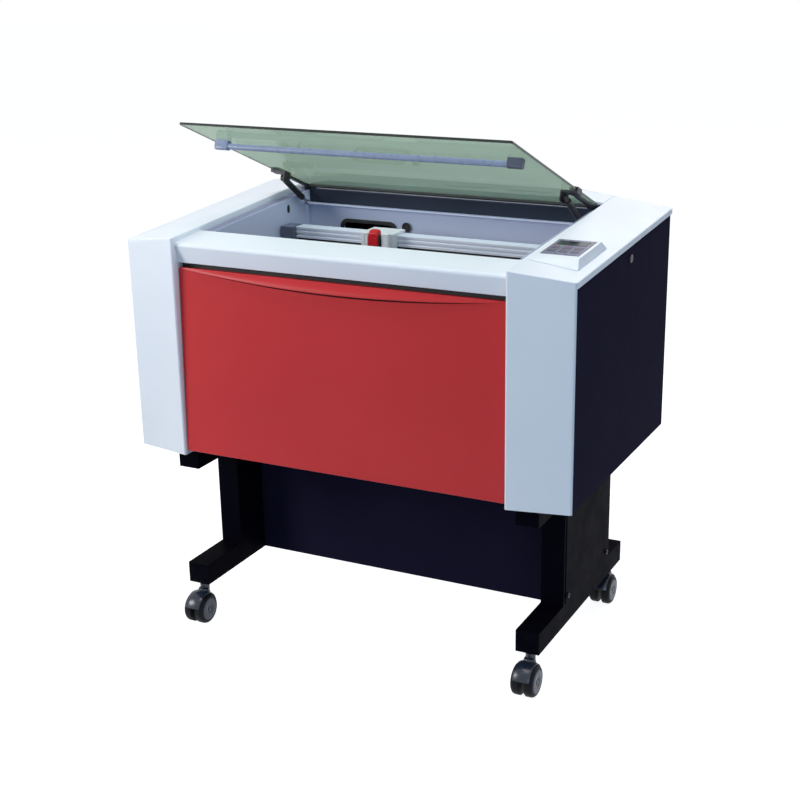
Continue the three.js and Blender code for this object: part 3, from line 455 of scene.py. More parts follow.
steel = metal("steel", {
    "colour": (0.52, 0.54, 0.57), "shade": (0.42, 0.44, 0.47), "rough": 0.30, "depth": 0.15,
    "lines": (900, 6, 900)})
shaftSteel = metal("shaftSteel", {
    "colour": (0.50, 0.51, 0.53), "shade": (0.44, 0.45, 0.47), "rough": 0.16, "depth": 0.05,
    "lines": (500, 500, 20)})
cellMetal = metal("cellMetal", {
    "colour": (0.46, 0.48, 0.50), "shade": (0.34, 0.35, 0.37), "rough": 0.42, "depth": 0.15,
    "lines": (400, 400, 60)})
carriagePlastic = moulded("carriagePlastic", {
    "colour": (0.10, 0.12, 0.18), "shade": (0.085, 0.10, 0.155), "rough": 0.4, "grain": 0.15})
blackPlastic = moulded("blackPlastic", {
    "colour": (0.012, 0.012, 0.015), "shade": (0.009, 0.009, 0.011), "rough": 0.42, "grain": 0.2})
casterPlastic = moulded("casterPlastic", {
    "colour": (0.018, 0.026, 0.046), "shade": (0.014, 0.021, 0.038), "rough": 0.24, "grain": 0.05})
wheelFace = moulded("wheelFace", {
    "colour": (0.085, 0.092, 0.125), "shade": (0.072, 0.079, 0.108), "rough": 0.35, "grain": 0.1,
    "specular": 0.3})
treadRubber = moulded("treadRubber", {
    "colour": (0.005, 0.005, 0.008), "shade": (0.008, 0.008, 0.011), "rough": 0.5, "grain": 0.3,
    "specular": 0.12})
rubber = moulded("rubber", {
    "colour": (0.010, 0.010, 0.012), "shade": (0.016, 0.016, 0.017), "rough": 0.65, "grain": 0.3})
softSeal = moulded("softSeal", {
    "colour": (0.27, 0.28, 0.41), "shade": (0.25, 0.26, 0.38), "rough": 0.6, "grain": 0.3})
# dark red for the strip under the door's grip: painted shadow under the lip
gripShadowPaint = moulded("gripShadowPaint", {
    "colour": (0.050, 0.006, 0.008), "shade": (0.040, 0.004, 0.006), "rough": 0.7, "grain": 0.2,
    "specular": 0.1})
headRed = moulded("headRed", {
    "colour": (0.62, 0.018, 0.030), "shade": (0.55, 0.014, 0.024), "rough": 0.22, "grain": 0.03})
consolePlastic = moulded("consolePlastic", {
    "colour": (0.80, 0.84, 0.89), "shade": (0.77, 0.81, 0.87), "rough": 0.40, "grain": 0.15})
keypadFilm = moulded("keypadFilm", {
    "colour": (0.172, 0.170, 0.280), "shade": (0.170, 0.168, 0.245), "rough": 0.3, "grain": 0.08})
keyPlastic = moulded("keyPlastic", {
    "colour": (0.105, 0.095, 0.145), "shade": (0.090, 0.080, 0.125), "rough": 0.4, "grain": 0.1})
windowFilm = moulded("windowFilm", {
    "colour": (0.012, 0.020, 0.030), "shade": (0.020, 0.028, 0.044), "rough": 0.12, "grain": 0.02})
switchRed = moulded("switchRed", {
    "colour": (0.55, 0.015, 0.015), "shade": (0.48, 0.012, 0.012), "rough": 0.25, "grain": 0.05})
lampTube = moulded("lampTube", {
    "colour": (0.24, 0.28, 0.42), "shade": (0.20, 0.24, 0.37), "rough": 0.3, "grain": 0.05})
capGrey = moulded("capGrey", {
    "colour": (0.070, 0.085, 0.130), "shade": (0.060, 0.072, 0.110), "rough": 0.4, "grain": 0.1})
lidGlass = tintedGlass("lidGlass", {
    "colour": (0.42, 0.54, 0.43), "shade": (0.39, 0.51, 0.40), "smudge": 0.06, "ior": 1.06, "clear": 0.75,
    "passes": (0.93, 0.95, 0.97)})
# dark colour for the lid plate's edge faces: painted shade for the dark look reflection inside the plate
# gives them
glassEdgeShade = moulded("glassEdgeShade", {
    "colour": (0.006, 0.012, 0.008), "shade": (0.010, 0.016, 0.012), "rough": 0.15, "grain": 0.03})
redGlow = shining("redGlow", (0.9, 0.05, 0.06), 0.6)
greenGlow = shining("greenGlow", (0.1, 0.7, 0.15), 0.5)
print("materials ready")


# parts of the frame that stay as they are, with softened edges and a finish of their own


def softenNode(node, material, width):
    obj = frame["nodes"][node]
    obj.data.materials.clear()
    obj.data.materials.append(material)
    for polygon in obj.data.polygons:
        polygon.use_smooth = True
    weld = obj.modifiers.new("weld", "WELD")
    weld.merge_threshold = mergeGap
    flats = obj.modifiers.new("flats", "DECIMATE")
    flats.decimate_type = "DISSOLVE"
    flats.angle_limit = flatAngle
    edges = obj.modifiers.new("edges", "BEVEL")
    edges.width = width
    edges.segments = 2
    edges.limit_method = "ANGLE"
    edges.angle_limit = math.radians(35)
    weight = obj.modifiers.new("weight", "WEIGHTED_NORMAL")
    weight.weight = 100


softNodes = [
    ("base_pan", navyPaint, 0.8), ("rear_panel", navyPaint, 0.8), ("left_side_panel", navyPaint, 0.8),
    ("right_side_panel", navyPaint, 0.8), ("modesty_panel", navyPaint, 0.6),
    # the well walls take the darker copy of the white paint: painted shade
    ("rear_deck", whitePaint, 1.0), ("well_rear_wall", shadedWellPaint, 0.8), ("hinge_rail", railPaint, 1.2),
    ("well_left_wall", shadedWellPaint, 0.8), ("well_right_wall", shadedWellPaint, 0.8),
    ("mains_inlet", blackPlastic, 0.6), ("mains_switch", switchRed, 0.8), ("lid_interlock", rubber, 0.6),
    ("laser_source", plateAluminium, 1.0), ("power_supply", steel, 0.6), ("lift_frame", steel, 0.8),
    ("left_y_rail", steel, 0.8), ("right_y_rail", steel, 0.8), ("x_belt", rubber, 0.2),
    ("left_y_carriage", carriagePlastic, 1.0), ("right_y_carriage", carriagePlastic, 1.0),
    ("gantry_beam", aluminium, 0.5), ("head_carriage", headWhite, 1.2), ("work_table", plateAluminium, 1.0),
    ("keypad_plate", keypadFilm, 0.4), ("side_lock", blackPlastic, 0.8),
]
for nodeName, nodeMaterial, edgeWidth in softNodes:
    softenNode(nodeName, nodeMaterial, edgeWidth * mm)
print("kept parts softened")


# column covers: one folded sheet each, with generous corners and a lip over the side panel


columnLook = {"rake": 28 * mm, "rise": 0.062, "fall": 0.138, "lip": 14 * mm, "sheet": 3.9 * mm,
              "cornerRadius": 6 * mm, "topRadius": 2.8 * mm, "edge": 0.5 * mm, "rearGap": 3.3 * mm,
              "pinRadius": 3.9 * mm, "pinReach": 8 * mm, "pinRise": 9 * mm}


def makeColumnCovers():
    look = columnLook
    low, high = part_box("right_column_cover")
    innerX, outerX = low.x + look["pinReach"], high.x
    innerTop = high.z - look["rise"] * (high.y - low.y)

    def topAt(x, y):
        return innerTop + look["rise"] * (y - low.y) - look["fall"] * (x - innerX)

    def onTop(point):
        return abs(point.z - topAt(point.x, point.y)) < 0.3 * mm

    cover = addBlock("columnCoverRight", (innerX, low.y, low.z), (outerX, high.y, high.z))
    for vertex in cover.data.vertices:
        point = vertex.co
        if point.x > innerX + near and point.y < 0:
            point.y += look["rake"]
        if point.z > low.z + near:
            point.z = topAt(point.x, point.y)
        elif point.x < innerX + near and point.y > 0:
            point.y -= look["rearGap"]  # clears the rear panel
    pickEdges(cover, lambda a, b: abs(a.z - b.z) > 0.4 and max(a.y, b.y) < 0)
    bevelPicked(look["cornerRadius"], 6)
    pickEdges(cover, lambda a, b: onTop(a) and onTop(b) and min(a.y, b.y) < high.y - near)
    bevelPicked(look["topRadius"], 4)
    bpy.ops.mesh.select_all(action="SELECT")
    frontY = low.y + look["rake"]
    bpy.ops.mesh.bisect(
        plane_co=(outerX, frontY, topAt(outerX, frontY) - look["lip"]),
        plane_no=(look["fall"], -look["rise"], 1),
    )
    pickFaces(cover, lambda centre, normal: (
        (normal.x > 0.9 and centre.z < topAt(outerX, centre.y) - look["lip"])
        or normal.z < -0.9 or normal.y > 0.9
    ))
    bpy.ops.mesh.delete(type="FACE")
    leaveEdit()
    useOnly(cover)
    sheet = cover.modifiers.new("sheet", "SOLIDIFY")
    sheet.thickness = look["sheet"]
    sheet.offset = -1
    sheet.use_even_offset = True
    bpy.ops.object.modifier_apply(modifier=sheet.name)
    roundOff(cover, look["edge"], 2, 50)
    pinPlace = (pivotOf("door_hinge").y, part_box("front_door")[0].z + look["pinRise"])
    pin = addRound("doorPin", "x", look["pinRadius"], innerX - look["pinReach"], innerX + near, pinPlace, 24)
    roundOff(pin, 0.5 * mm, 2)
    cover = joinAll([cover, pin], "columnCoverRight")
    other = mirrorPiece(cover, "columnCoverLeft")
    place(cover, "chassis", "white_paint", whitePaint, "right_column_cover")
    place(other, "chassis", "white_paint", whitePaint, "left_column_cover")


makeColumnCovers()
print("column covers done")


# crossbar: a hollow profile with a rounded nose


barLook = {"noseRadius": 11 * mm, "noseBand": 30 * mm, "edge": 2.5 * mm, "wall": 4 * mm,
           "undercut": 14 * mm, "rearRise": 10 * mm,
           "brushBack": 28.4 * mm, "brushHalf": 0.4164, "brushDrop": 20 * mm, "brushSheet": 2.2 * mm}


def makeCrossbar():
    look = barLook
    low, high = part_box("front_crossbar")
    bar = addBlock("crossbar", low, high)
    pickFaces(bar, facing("x"))
    insetPicked(look["wall"])
    leaveEdit()
    for vertex in bar.data.vertices:
        point = vertex.co
        forward = point.y < (low.y + high.y) / 2
        below = point.z < (low.z + high.z) / 2
        if forward and below:
            point.y += look["undercut"]
        if forward and not below:
            point.z -= look["rearRise"]
    pickEdges(bar, lambda a, b: abs(a.x - b.x) > 0.5 and max(a.y, b.y) < low.y + 2 * mm
              and min(a.z, b.z) > high.z - look["noseBand"])
    bevelPicked(look["noseRadius"], 8)
    leaveEdit()
    roundOff(bar, look["edge"], 3)
    place(bar, "chassis", "white_paint", whitePaint, "front_crossbar")

    # brush seal behind the top of the door; its black sheet also stands as painted shade in the gap under
    # the crossbar
    start = low.y + look["brushBack"]
    brushShade = addBlock("doorBrushShade", (-look["brushHalf"], start, low.z - look["brushDrop"]),
                     (look["brushHalf"], start + look["brushSheet"], low.z + near))
    roundOff(brushShade, 0.8 * mm, 2)
    place(brushShade, "chassis", "seal_rubber", rubber)


makeCrossbar()
print("crossbar done")


# front door: a pressed tray with a bowed grip along its top edge


doorLook = {"thickness": 18 * mm, "height": 0.449, "skin": 3 * mm, "edge": 2.2 * mm,
            "lean": 12 * mm, "leanOver": 0.4397,
            "bow": 14 * mm, "fullness": 1.2, "drop": 24 * mm, "endDrop": 3 * mm, "tuck": 0.6 * mm,
            "steps": 40, "levels": 6, "gripInset": 6 * mm, "gripLip": 1.2 * mm, "gripRise": 1.5 * mm,
            "shadowStrip": 8 * mm, "shadowStripSheet": 0.4 * mm}


def makeDoor():
    look = doorLook
    hinge = pivotOf("door_hinge")
    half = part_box("front_door")[1].x
    lowEdge = -look["thickness"] / 2
    face = hinge.y + lowEdge
    doorTop = hinge.z + lowEdge + look["height"]
    tray = addBlock("doorPanel", (-half, face, hinge.z + lowEdge), (half, hinge.y - lowEdge, doorTop))
    sinkEnd(tray, "y", 1, look["skin"], look["thickness"] - look["skin"])
    roundOff(tray, look["edge"], 4)

    top = doorTop + look["gripRise"]
    gripHalf = half - look["gripInset"]

    def fullAt(x):
        # 1 at the middle of the grip, 0 at its ends
        return max(0.0, 1 - (x / gripHalf) ** 2)

    def dropAt(x):
        return look["endDrop"] + (look["drop"] - look["endDrop"]) * fullAt(x)

    # the grip starts as a thin bar that is cut up along its length and then drawn out to its bow
    grip = addBlock("doorGrip", (-gripHalf, face - near, top - look["drop"]), (gripHalf, face + 2 * mm, top))
    pickEdges(grip, spanning("x", 0.5))
    bpy.ops.mesh.subdivide(number_cuts=look["steps"])
    pickEdges(grip, spanning("z", 0.5 * look["drop"]))
    bpy.ops.mesh.subdivide(number_cuts=look["levels"])
    leaveEdit()
    for vertex in grip.data.vertices:
        point = vertex.co
        down = max(0.0, (top - point.z) / look["drop"])
        point.z = top - dropAt(point.x) * down
        if point.y < face:
            swell = fullAt(point.x) * math.sin(down * math.pi / 2) ** look["fullness"]
            point.y = face - look["tuck"] - (look["bow"] - 2 * look["tuck"]) * swell
    roundOff(grip, look["gripLip"], 2, 50)
    lean = -math.atan(look["lean"] / look["leanOver"])
    door = joinAll([tray, grip], "doorPanel")
    tiltAbout(door, hinge, lean)
    place(door, "door", "red_paint", redPaint, "front_door")

    # dark strip on the panel right under the grip: painted shadow under the grip's lip
    shadowStrip = addBlock("gripShadowStrip", (-gripHalf, face - look["shadowStripSheet"], -look["shadowStrip"]),
                     (gripHalf, face + near, 0))
    pickEdges(shadowStrip, spanning("x", 0.5))
    bpy.ops.mesh.subdivide(number_cuts=look["steps"])
    leaveEdit()
    for vertex in shadowStrip.data.vertices:
        point = vertex.co
        point.z = top - dropAt(point.x) + near + point.z * fullAt(point.x)
    tiltAbout(shadowStrip, hinge, lean)
    place(shadowStrip, "door", "seal_rubber", gripShadowPaint)


makeDoor()
print("door done")


# lid: tinted plate with polished edges painted dark as painted shade for reflection inside the plate, its
# seal, with arms, clamps and lamp; all drawn lying flat with the hinge line at the origin, then set at the
# angle it rests at


lidHinge = pivotOf("lid_hinge")
lidAngle = -0.387
lidLook = {"front": -0.596, "rear": -0.012, "halfWidth": 0.4095, "under": 3 * mm, "over": 9 * mm,
           "edge": 0.9 * mm, "corner": 5 * mm,
           "sealHalf": 0.386, "sealDepth": 13 * mm, "sealUnder": -2.8 * mm, "sealTuck": 0.5 * mm}


def setOnLid(obj):
    obj.data.transform(Matrix.Translation(lidHinge) @ Matrix.Rotation(lidAngle, 4, "X"))


def makeLidGlass():
    look = lidLook
    plate = addBlock("lidGlass", (-look["halfWidth"], look["front"], look["under"]),
                     (look["halfWidth"], look["rear"], look["over"]))
    pickEdges(plate, spanning("z", 4 * mm))
    bevelPicked(look["corner"], 5)
    leaveEdit()
    roundOff(plate, look["edge"], 2)
    plate.data.materials.append(lidGlass)
    plate.data.materials.append(glassEdgeShade)
    # the edge faces take the dark edge colour: painted shade
    for polygon in plate.data.polygons:
        polygon.material_index = 0 if abs(polygon.normal.z) > 0.99 else 1
    setOnLid(plate)
    attach(plate, "lid", "tinted_glass", "lid_glass")

    seal = addBlock("lidSeal", (-look["sealHalf"], look["rear"] - look["sealDepth"], look["sealUnder"]),
                    (look["sealHalf"], look["rear"] + look["sealTuck"], look["under"]))
    roundOff(seal, 1.2 * mm, 3)
    setOnLid(seal)
    place(seal, "lid", "seal_rubber", rubber)


armLook = {"edge": 0.8 * mm, "screwRadius": 3.4 * mm, "screwFoot": 12.2 * mm, "screwTop": 14.6 * mm,
           "screwX": 0.402, "screwAlong": (-0.170, -0.156), "socketRim": 1.4 * mm, "socketDepth": 1.2 * mm}


def makeLidArms():
    look = armLook
    for side, sign in sides.items():
        name = side.capitalize()
        arm = copyOfNode("lid_arm_" + side, "lidArm" + name)
        roundOff(arm, look["edge"], 2)
        place(arm, "lid", "black_plastic", blackPlastic, "lid_arm_" + side)
        for number, along in enumerate(look["screwAlong"]):
            screw = addRound(f"clampScrew{name}{number}", "z", look["screwRadius"], look["screwFoot"],
                             look["screwTop"], (sign * look["screwX"], along), 24)
            sinkEnd(screw, "z", 1, look["socketRim"], look["socketDepth"])
            roundOff(screw, 0.3 * mm, 2)
            setOnLid(screw)
            place(screw, "lid", "bare_steel", shaftSteel)


lampLook = {"radius": 7 * mm, "half": 0.388, "along": -0.467, "below": -11 * mm, "tubeShort": 30 * mm,
            "cap": 35 * mm, "capHalf": 9 * mm, "capFoot": -20 * mm, "capTop": 2.7 * mm, "capRound": 7 * mm,
            "capRim": 2 * mm, "capEdge": 1 * mm}


def makeLamp():
    look = lampLook
    reach = look["half"] - look["tubeShort"]
    tube = addRound("lampTubeBody", "x", look["radius"], -reach, reach, (look["along"], look["below"]), 40)
    roundOff(tube, 0.5 * mm, 2)
    setOnLid(tube)
    place(tube, "lid", "bright_aluminium", lampTube, "lid_lamp")
    pattern = addBlock(
        "capPattern",
        (look["half"] - look["cap"], look["along"] - look["capHalf"], look["capFoot"]),
        (look["half"], look["along"] + look["capHalf"], look["capTop"]),
    )
    lowest = look["capFoot"] + 5 * mm
    pickEdges(pattern, lambda a, b: abs(a.x - b.x) > 20 * mm and max(a.z, b.z) < lowest)
    bevelPicked(look["capRound"], 6)
    sinkEnd(pattern, "x", -1, look["capRim"], look["capRim"])
    roundOff(pattern, look["capEdge"], 2)
    setOnLid(pattern)
    place(mirrorPiece(pattern, "lampCapLeft"), "lid", "bright_aluminium", lampTube)
    place(copyPiece(pattern, "lampCapRight", (0, 0, 0)), "lid", "black_plastic", capGrey)
    bpy.data.objects.remove(pattern)


makeLidGlass()
makeLidArms()
makeLamp()
print("lid done")


# gas struts: gloss black cylinder over a dark rod, with flat eyes


strutLook = {"cylinder": 8 * mm, "start": 29 * mm, "length": 138.96 * mm, "endGap": 12 * mm,
             "slope": math.radians(35.4288), "mouthRim": 3.6 * mm, "mouthDepth": 30 * mm,
             "shoulderRim": 3.2 * mm, "shoulder": 6 * mm, "eye": 8 * mm, "eyeRim": 3.4 * mm,
             "rod": 4 * mm, "rodEnd": 60 * mm, "rodEye": 7 * mm, "rodEyeRim": 3.7 * mm, "eyeHalf": 4 * mm}


def ringEye(name, radius, rim, height):
    ring = addRound(name, "x", radius, -strutLook["eyeHalf"], strutLook["eyeHalf"], (0, height), 32)
    openRing(ring, "x", rim)
    return ring


def makeStruts():
    # drawn upright from the lower pivot, then laid to the slope
    look = strutLook
    for side in sides:
        foot = pivotOf(f"strut_{side}_pivot")
        turn = Matrix.Translation(foot) @ Matrix.Rotation(math.pi / 2 - look["slope"], 4, "X")
        name = side.capitalize()
        rod = addRound("strutRod", "z", look["rod"], look["eyeHalf"], look["rodEnd"], (0, 0), 32)
        rod = joinAll([rod, ringEye("rodEye", look["rodEye"], look["rodEyeRim"], 0)], "strutRod" + name)
        roundOff(rod, 0.4 * mm, 2)
        rod.data.transform(turn)
        place(rod, f"strut_rod_body_{side}", "strut_rod", shaftSteel, f"strut_rod_{side}")
        end = look["length"] - look["endGap"]
        body = addRound("strutBody", "z", look["cylinder"], look["start"], end, (0, 0), 40)
        sinkEnd(body, "z", -1, look["mouthRim"], look["mouthDepth"])
        sinkEnd(body, "z", 1, look["shoulderRim"], -look["shoulder"])
        eye = ringEye("bodyEye", look["eye"], look["eyeRim"], look["length"])
        body = joinAll([body, eye], "strutBody" + name)
        roundOff(body, 0.6 * mm, 2)
        body.data.transform(turn)
        place(body, f"strut_cylinder_body_{side}", "strut_body", blackPlastic, f"strut_cylinder_{side}")


makeStruts()
print("struts done")


# stand: tube frames, leg plates and their bolts


standLook = {"edge": 2.5 * mm, "plate": 1.6 * mm, "plateEdge": 0.7 * mm, "plateStart": 0.175,
             "plateEnd": 0.4825, "plateFoot": 0.0565, "plateTop": 0.3165,
             "bolts": (0.188, 0.462), "boltHeight": 0.074, "boltRadius": 6 * mm, "boltHead": 4 * mm,
             "socketRim": 2.6 * mm, "socketDepth": 2.5 * mm}


def makeStand():
    look = standLook
    for side, sign in sides.items():
        name = side.capitalize()
        legs = copyOfNode(side + "_stand_frame", "standFrame" + name)
        roundOff(legs, look["edge"], 3)
        place(legs, "chassis", "black_paint", blackPaint, side + "_stand_frame")
        low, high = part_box(side + "_stand_frame")
        outer = high.x if sign > 0 else low.x
        face = outer + sign * look["plate"]
        plate = addBlock(
            "legPlate" + name,
            (min(outer, face), low.y + look["plateStart"], low.z + look["plateFoot"]),
            (max(outer, face), low.y + look["plateEnd"], low.z + look["plateTop"]),
        )
        roundOff(plate, look["plateEdge"], 2)
        place(plate, "chassis", "black_paint", blackPaint)
        head = face + sign * look["boltHead"]
        for number, along in enumerate(look["bolts"]):
            bolt = addRound(f"legBolt{name}{number}", "x", look["boltRadius"], min(face, head),
                            max(face, head), (low.y + along, low.z + look["boltHeight"]), 32)
            sinkEnd(bolt, "x", sign, look["socketRim"], look["socketDepth"])
            roundOff(bolt, 0.5 * mm, 2)
            place(bolt, "chassis", "black_paint", blackPlastic)


makeStand()
print("stand done")


# casters: hooded twin wheels, modelled once and copied


casterLook = {"axles": {"front": -0.311, "rear": 0.221}, "spread": 0.45, "radius": 38 * mm,
              "hoodRadius": 42 * mm, "hoodHalf": 21 * mm, "rim": 2.6 * mm, "web": 5 * mm,
              "crown": 3 * mm, "tuck": 1.2 * mm, "crownSteps": 11, "frontGap": 52 * mm, "rearGap": 34 * mm,
              "trail": 24 * mm, "top": 104.7 * mm, "stem": 9 * mm, "neck": 12 * mm, "neckFoot": 66 * mm,
              "collar": 20 * mm, "collarTip": 12.5 * mm, "collarFoot": 60 * mm, "collarTop": 87 * mm,
              "collarAhead": 6 * mm,
              "half": 28 * mm, "inner": 6 * mm, "shoulder": 9 * mm, "innerRound": 3 * mm, "axle": 4 * mm,
              "discSteps": ((0.6, -0.9), (0.8, 0.9), (17, -1.0), (4, 1.2))}  # rim and push, in mm


def makeHood(name, x, axleY):
    look = casterLook
    half, radius = look["hoodHalf"], look["radius"]
    hood = addRound(name, "x", look["hoodRadius"], x - half, x + half, (axleY, radius), 72)
    pickFaces(hood, facing("x", least=0.9995))
    insetPicked(look["rim"], apart=True)
    insetPicked(0, depth=-(half - look["web"]), apart=True)
    pickEdges(hood, spanning("x", 1.9 * half))
    bpy.ops.mesh.subdivide(number_cuts=look["crownSteps"])
    leaveEdit()
    for vertex in hood.data.vertices:
        point = vertex.co
        spoke = Vector((0, point.y - axleY, point.z - radius))
        if spoke.length > look["hoodRadius"] - 0.1 * mm:
            across = (point.x - x) / half
            spoke *= 1 + (look["crown"] * (1 - across ** 2) - look["tuck"] * across ** 4) / spoke.length
            point.y, point.z = axleY + spoke.y, radius + spoke.z
    useOnly(hood)
    bpy.ops.object.mode_set(mode="EDIT")
    bpy.ops.mesh.select_all(action="SELECT")
    drop = (look["frontGap"] - look["rearGap"]) / (2 * look["hoodRadius"])
    bpy.ops.mesh.bisect(
        plane_co=(0, axleY, (look["frontGap"] + look["rearGap"]) / 2), plane_no=(0, drop, 1),
        use_fill=True, clear_inner=True,
    )
    leaveEdit()
    roundOff(hood, 0.6 * mm, 3, 40)
    stemY, top = axleY + look["trail"], look["top"]
    collar = addRound(name + "Collar", "z", look["collar"], look["collarFoot"], look["collarTop"],
                      (x, stemY - look["collarAhead"]), 40, tip=look["collarTip"])
    roundOff(collar, 4 * mm, 5)
    neck = addRound(name + "Neck", "z", look["neck"], look["neckFoot"], top - 7 * mm, (x, stemY), 40)
    roundOff(neck, 1.4 * mm, 3)
    stem = addRound(name + "Stem", "z", look["stem"], top - 9 * mm, top, (x, stemY), 40)
    return joinAll([hood, collar, neck, stem], name)


def makeWheels(name, x, axleY):
    look = casterLook
    radius = look["radius"]
    made = []
    for sign in sides.values():
        inner, outer = x + sign * look["inner"], x + sign * look["half"]
        wheel = addRound(name, "x", radius, min(inner, outer), max(inner, outer), (axleY, radius), 72)
        wheel.data.materials.append(treadRubber)
        wheel.data.materials.append(wheelFace)
        pickEdges(wheel, lambda a, b: abs(a.x - outer) < near and abs(b.x - outer) < near)
        bevelPicked(look["shoulder"], 8)
        pickEdges(wheel, lambda a, b: abs(a.x - inner) < near and abs(b.x - inner) < near)
        bevelPicked(look["innerRound"], 3)
        pickFaces(wheel, facing("x", sign, 0.9995))
        wheel.active_material_index = 1
        for rim, push in look["discSteps"]:
            insetPicked(rim * mm)
            pushPicked(x=sign * push * mm)
            bpy.ops.object.material_slot_assign()
        leaveEdit()
        bevelEdges(wheel, 0.5 * mm, 2)
        bpy.ops.object.shade_smooth_by_angle(angle=math.radians(40))
        made.append(wheel)
    end = look["inner"] + 0.5 * mm
    axle = addRound(name + "Axle", "x", look["axle"], x - end, x + end, (axleY, radius), 24)
    axle.data.materials.append(treadRubber)
    return joinAll(made + [axle], name)


def makeCasters():
    look = casterLook
    home = Vector((-look["spread"], look["axles"]["front"], 0))
    hood = makeHood("hoodPattern", home.x, home.y)
    wheels = makeWheels("wheelPattern", home.x, home.y)
    for end, axleY in look["axles"].items():
        for side, sign in sides.items():
            node = f"{end}_{side}_caster"
            name = end + side.capitalize() + "Caster"
            shift = Vector((sign * look["spread"], axleY, 0)) - home
            place(copyPiece(hood, name + "Hood", shift), node + "_fork", "caster_plastic",
                  casterPlastic, node + "_hood")
            attach(copyPiece(wheels, name + "Wheels", shift), node + "_wheel_pair", "caster_tread",
                   node + "_wheels")
    bpy.data.objects.remove(hood)
    bpy.data.objects.remove(wheels)


makeCasters()
print("casters done")


# the well: seal strips on the ledges, the port's ring, and a dark grommet on the rear wall as painted shadow


wellLook = {"sealWidth": 21 * mm, "sealHeight": 0.7 * mm, "sealGap": 1 * mm, "sealStart": 0.121,
            "rearGap": 4 * mm, "ledge": 0.9953, "rise": 0.062,
            "portCorner": 22 * mm, "portRim": 10 * mm, "portEdge": 1.8 * mm,
            "shadowGrommetAt": (-0.106, 0.953), "shadowGrommet": 13 * mm, "shadowGrommetTip": 9 * mm, "shadowGrommetDepth": 4.7 * mm}


def makeWellTrim():
    look = wellLook
    front = cadBox[0][1]
    for side, sign in sides.items():
        low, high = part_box(f"well_{side}_wall")
        edge = (high.x if sign > 0 else low.x) - sign * look["sealGap"]
        inner = edge - sign * look["sealWidth"]
        seal = addBlock(
            "ledgeSeal" + side.capitalize(),
            (min(inner, edge), front + look["sealStart"], 0),
            (max(inner, edge), high.y - look["rearGap"], look["sealHeight"]),
        )
        for vertex in seal.data.vertices:
            vertex.co.z += look["ledge"] + look["rise"] * (vertex.co.y - front)
        roundOff(seal, 0.3 * mm, 2)
        place(seal, "chassis", "seal_rubber", softSeal)
    low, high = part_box("extraction_port_trim")
    ring = addBlock("portRing", low, high)
    pickEdges(ring, spanning("y", 4 * mm))
    bevelPicked(look["portCorner"], 10)
    openRing(ring, "y", look["portRim"])
    roundOff(ring, look["portEdge"], 3)
    place(ring, "chassis", "seal_rubber", rubber, "extraction_port_trim")
    # dark rubber grommet beside the port: painted shadow on the rear wall
    shadowGrommet = addRound("shadowGrommetPiece", "y", look["shadowGrommet"], high.y - look["shadowGrommetDepth"], high.y,
                       look["shadowGrommetAt"], 40, tip=look["shadowGrommetTip"])
    sinkEnd(shadowGrommet, "y", -1, 3.5 * mm, 2.5 * mm)
    roundOff(shadowGrommet, 0.8 * mm, 2)
    place(shadowGrommet, "chassis", "seal_rubber", rubber)


makeWellTrim()
print("well trim done")


# laser head: red cover over white blocks, with its nozzle below


headLook = {"edge": 1.4 * mm, "crest": 7 * mm, "crestBand": 9 * mm,
            "sideGap": 0.2 * mm, "sideReach": 5 * mm, "sideFront": 2 * mm, "sideFoot": 6 * mm,
            "sideTop": 12 * mm,
            "blockFront": 6 * mm, "blockFoot": 22 * mm, "blockTop": 9 * mm, "blockRim": 2.5 * mm,
            "blockSink": 1.2 * mm, "leftBlock": (-16 * mm, -4 * mm), "rightBlock": (7 * mm, 25 * mm),
            "nozzle": 9 * mm, "tip": 3 * mm, "tipHeight": 6 * mm, "bore": 1.4 * mm, "boreDepth": 4 * mm}


def makeHead():
    look = headLook
    low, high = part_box("laser_head")
    cover = copyOfNode("laser_head", "headCover")
    crestFoot = high.z - look["crestBand"]
    pickEdges(cover, lambda a, b: abs(a.x - b.x) < near and min(a.z, b.z) > crestFoot)
    bevelPicked(look["crest"], 6)
    leaveEdit()
    roundOff(cover, look["edge"], 3)
    place(cover, "head", "head_red", headRed, "laser_head")
    # black plate on the head's right side: painted shade of that side of the head
    side = addBlock(
        "headShadeSide",
        (high.x + look["sideGap"], low.y + look["sideFront"], low.z + look["sideFoot"]),
        (high.x + look["sideReach"], high.y, high.z - look["sideTop"]),
    )
    roundOff(side, look["edge"], 3)
    place(side, "head", "black_plastic", blackPlastic)
    for name, edge, (start, end) in (("headBlockLeft", low.x, look["leftBlock"]),
                                     ("headBlockRight", high.x, look["rightBlock"])):
        block = addBlock(name, (edge + start, low.y + look["blockFront"], low.z + look["blockFoot"]),
                         (edge + end, high.y, high.z - look["blockTop"]))
        sinkEnd(block, "y", -1, look["blockRim"], look["blockSink"])
        roundOff(block, 0.9 * mm, 2)
        place(block, "head", "head_white", headWhite)
    low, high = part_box("focus_nozzle")
    spot = ((low.x + high.x) / 2, (low.y + high.y) / 2)
    neckZ = low.z + look["tipHeight"]
    tip = addRound("focusNozzle", "z", look["tip"], low.z, neckZ, spot, 40, tip=look["nozzle"])
    collar = addRound("nozzleCollar", "z", look["nozzle"], neckZ, high.z, spot, 40)
    sinkEnd(tip, "z", -1, look["bore"], look["boreDepth"])
    nozzle = joinAll([tip, collar], "focusNozzle")
    roundOff(nozzle, 0.4 * mm, 2)
    place(nozzle, "head", "bare_steel", shaftSteel, "focus_nozzle")


# black strip under the front edge of the gantry: painted shadow of the dark gap below the beam


beamShadeLook = {"endGap": 6 * mm, "front": 3 * mm, "back": 15 * mm, "height": 6 * mm, "gap": 0.2 * mm,
             "rim": 1.4 * mm, "groove": 1.5 * mm}


